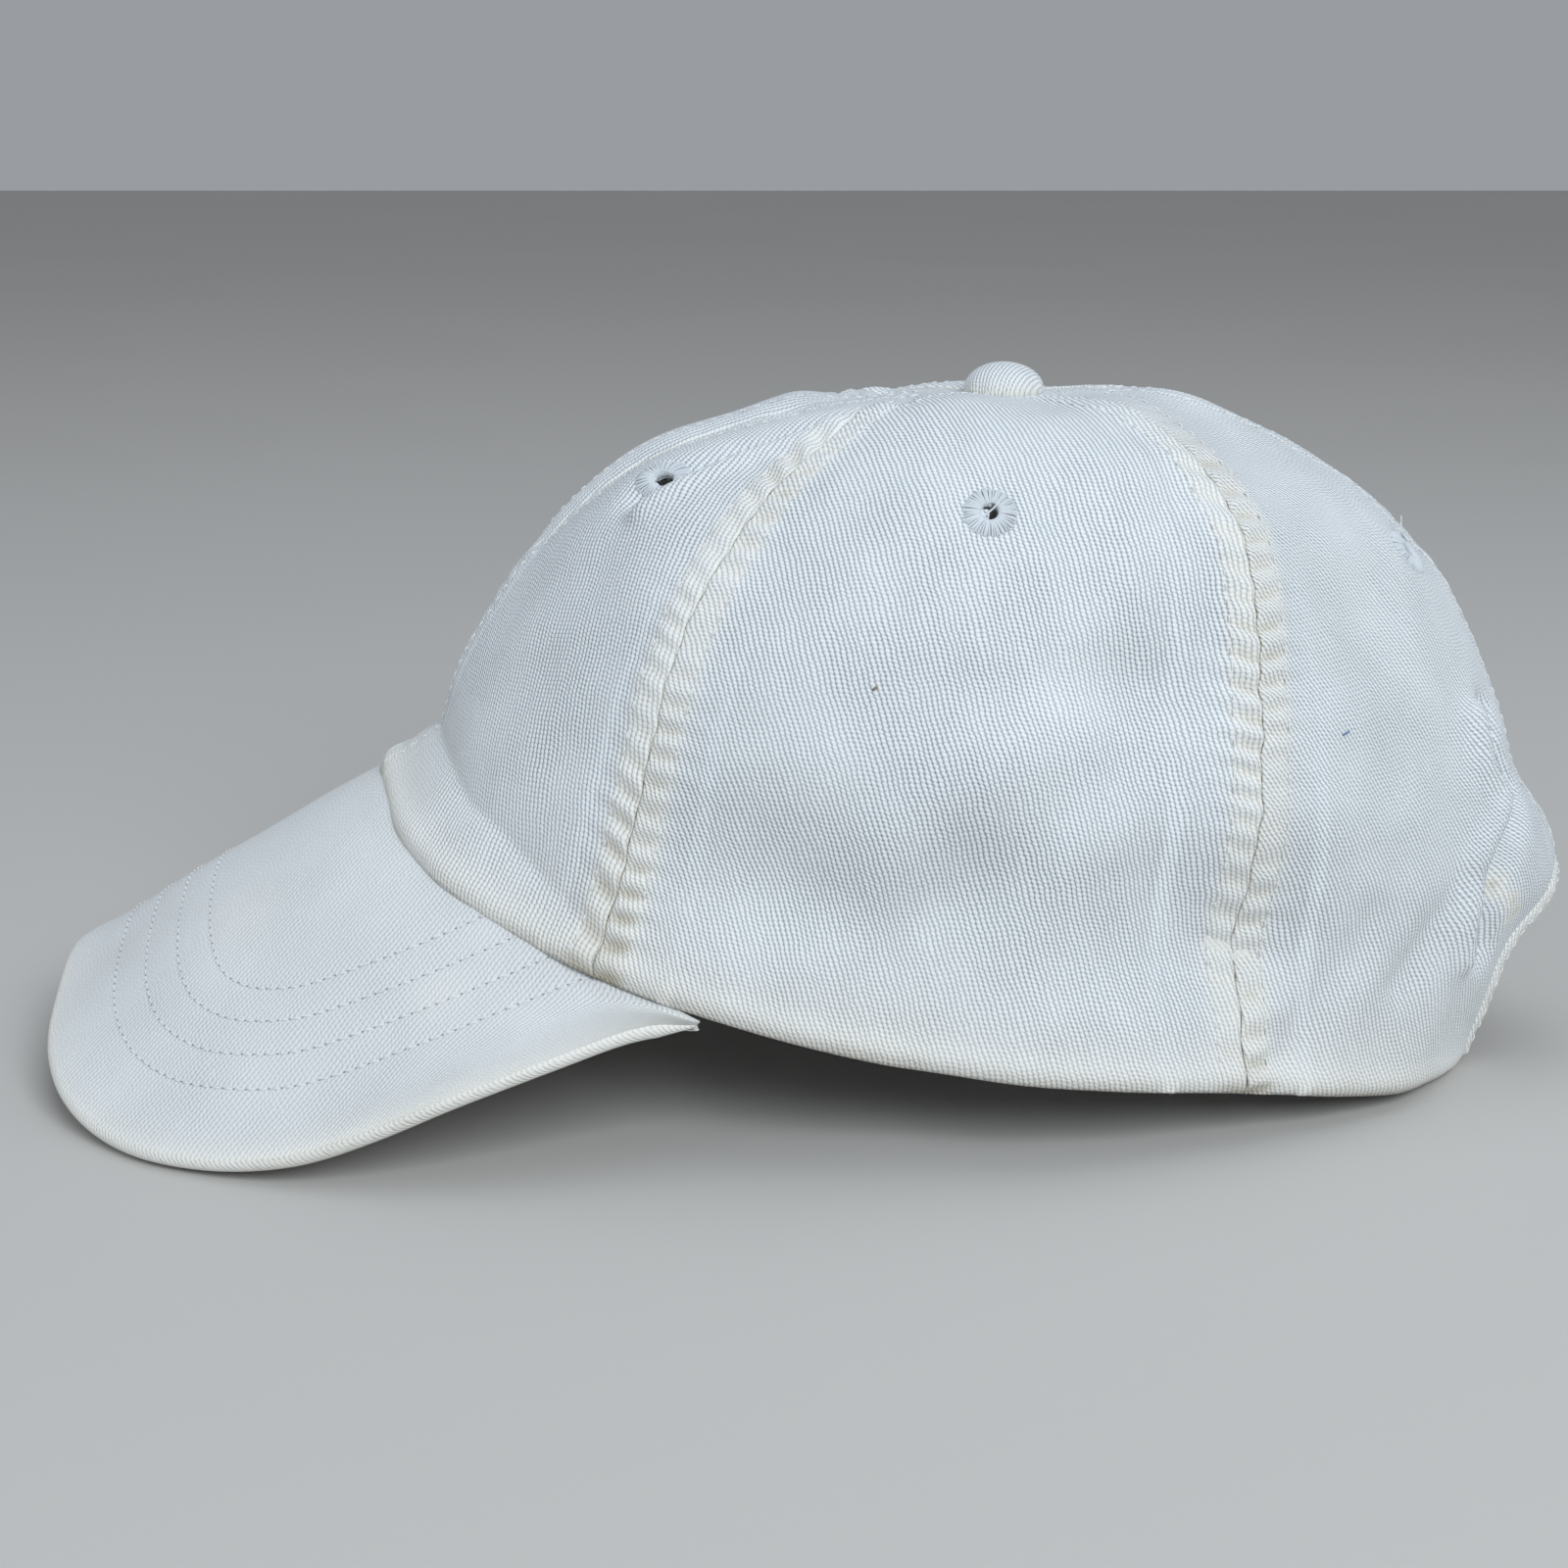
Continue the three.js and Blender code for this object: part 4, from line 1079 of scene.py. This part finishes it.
def strap_keeper():
    """A narrow loop of folded twill round both layers of the strap."""
    low, high = box_of("strap_keeper")
    thick = 0.4
    wide, half_y, half_z = (high - low) / 2 - np.array([0, thick, thick])
    turn, across = turns(96), turns(16)
    outward = unit(np.stack([0 * turn, np.cos(turn) * half_z, np.sin(turn) * half_y], -1))
    centre = (low + high) / 2 - np.array([0, SHIFT_Y, 0]) + np.stack(
        [0 * turn, half_y * squared(np.cos(turn), 0.45), half_z * squared(np.sin(turn), 0.3)], -1)
    points = centre[:, None] + thick * np.sin(across)[None, :, None] * outward[:, None]
    points[..., 0] += wide * squared(np.cos(across), 0.4)
    cloth = turn_cloth(*np.broadcast_arrays(points[..., 0], run_along(centre)[:, None]), 40)
    faces = grid_faces(len(turn), len(across), closed=True, ring=True)
    add_piece("keeper_cloth", points, faces, TWILL, cloth, 0.3, "keeper", nodes=("strap_keeper",))


def dress(node, material):
    """Gives a CAD node a finished material."""
    piece = bpy.data.objects[node]
    if not piece.material_slots:
        piece.data.materials.append(material)
    for slot in piece.material_slots:
        slot.material = material


# ---- camera, light and floor ----
def stage_and_camera():
    """The floor, and a camera that sees the cap from the photo's side."""
    bpy.ops.mesh.primitive_plane_add(size=8, location=(0, 0, 0))
    floor = bpy.context.object
    floor.name = "floor"
    floor.data.materials.append(floor_material())
    data = bpy.data.cameras.new("photo_view")
    camera = bpy.data.objects.new("photo_view", data)
    bpy.context.scene.collection.objects.link(camera)
    camera.location = to_frame(CAMERA_PLACE)
    camera.rotation_euler = (math.radians(90 - CAMERA_TILT), 0, math.radians(90))
    data.sensor_width = 36.0
    data.lens = CAMERA_LENS
    data.clip_start = 0.01
    bpy.context.scene.camera = camera


def area_light(name, place, aim, size, watts, colour):
    """A soft square light that faces the place it aims at."""
    data = bpy.data.lights.new(name, "AREA")
    data.size = size
    data.energy = watts
    data.color = colour
    light = bpy.data.objects.new(name, data)
    bpy.context.scene.collection.objects.link(light)
    light.location = place
    to = np.array(aim) - np.array(place)
    tilt, turn = math.acos(-to[2] / np.linalg.norm(to)), math.atan2(to[1], to[0]) - math.pi / 2
    light.rotation_euler = (tilt, 0, turn)


def lighting():
    """Plain soft studio light, a little blue."""
    area_light("key", (1.0, 0.45, 0.85), (0, 0, 0.05), 0.7, 12.5, (0.885, 0.945, 1.0))
    area_light("top", (-0.2, 0.15, 1.4), (0, 0, 0.1), 1.0, 3.5, (0.80, 0.90, 1.0))
    area_light("front", (0.5, -1.3, 0.7), (0, 0, 0.08), 0.9, 3.5, (0.84, 0.92, 1.0))
    world = bpy.data.worlds.new("studio")
    bpy.context.scene.world = world
    world.use_nodes = True
    background = world.node_tree.nodes["Background"]
    background.inputs["Color"].default_value = (0.86, 0.9, 0.96, 1)
    background.inputs["Strength"].default_value = 0.37
    bpy.context.scene.view_settings.view_transform = "Standard"


stage_and_camera()
lighting()
build_crown()
for side_name, side in (("left", 1), ("right", -1)):
    for index in range(3):
        eyelet(index, side_name, side)
    for which in range(2):
        side_tape(which, side_name, side)
specks()
middle_tape()
sweatband()
care_label()
opening_binding()
button_cover()
visor_stitch_rows(*visor_top())
visor_under()
for node in ("strap_adjusting", "strap_anchor"):
    strap_band(node)
strap_keeper()
for node in ("clasp_plate", "clasp_lever"):
    dress(node, BRASS)
for node in ("clasp_pin", "button_shell", "button_rivet", "button_backing"):
    dress(node, STEEL)
dress("visor_board", PLASTIC)
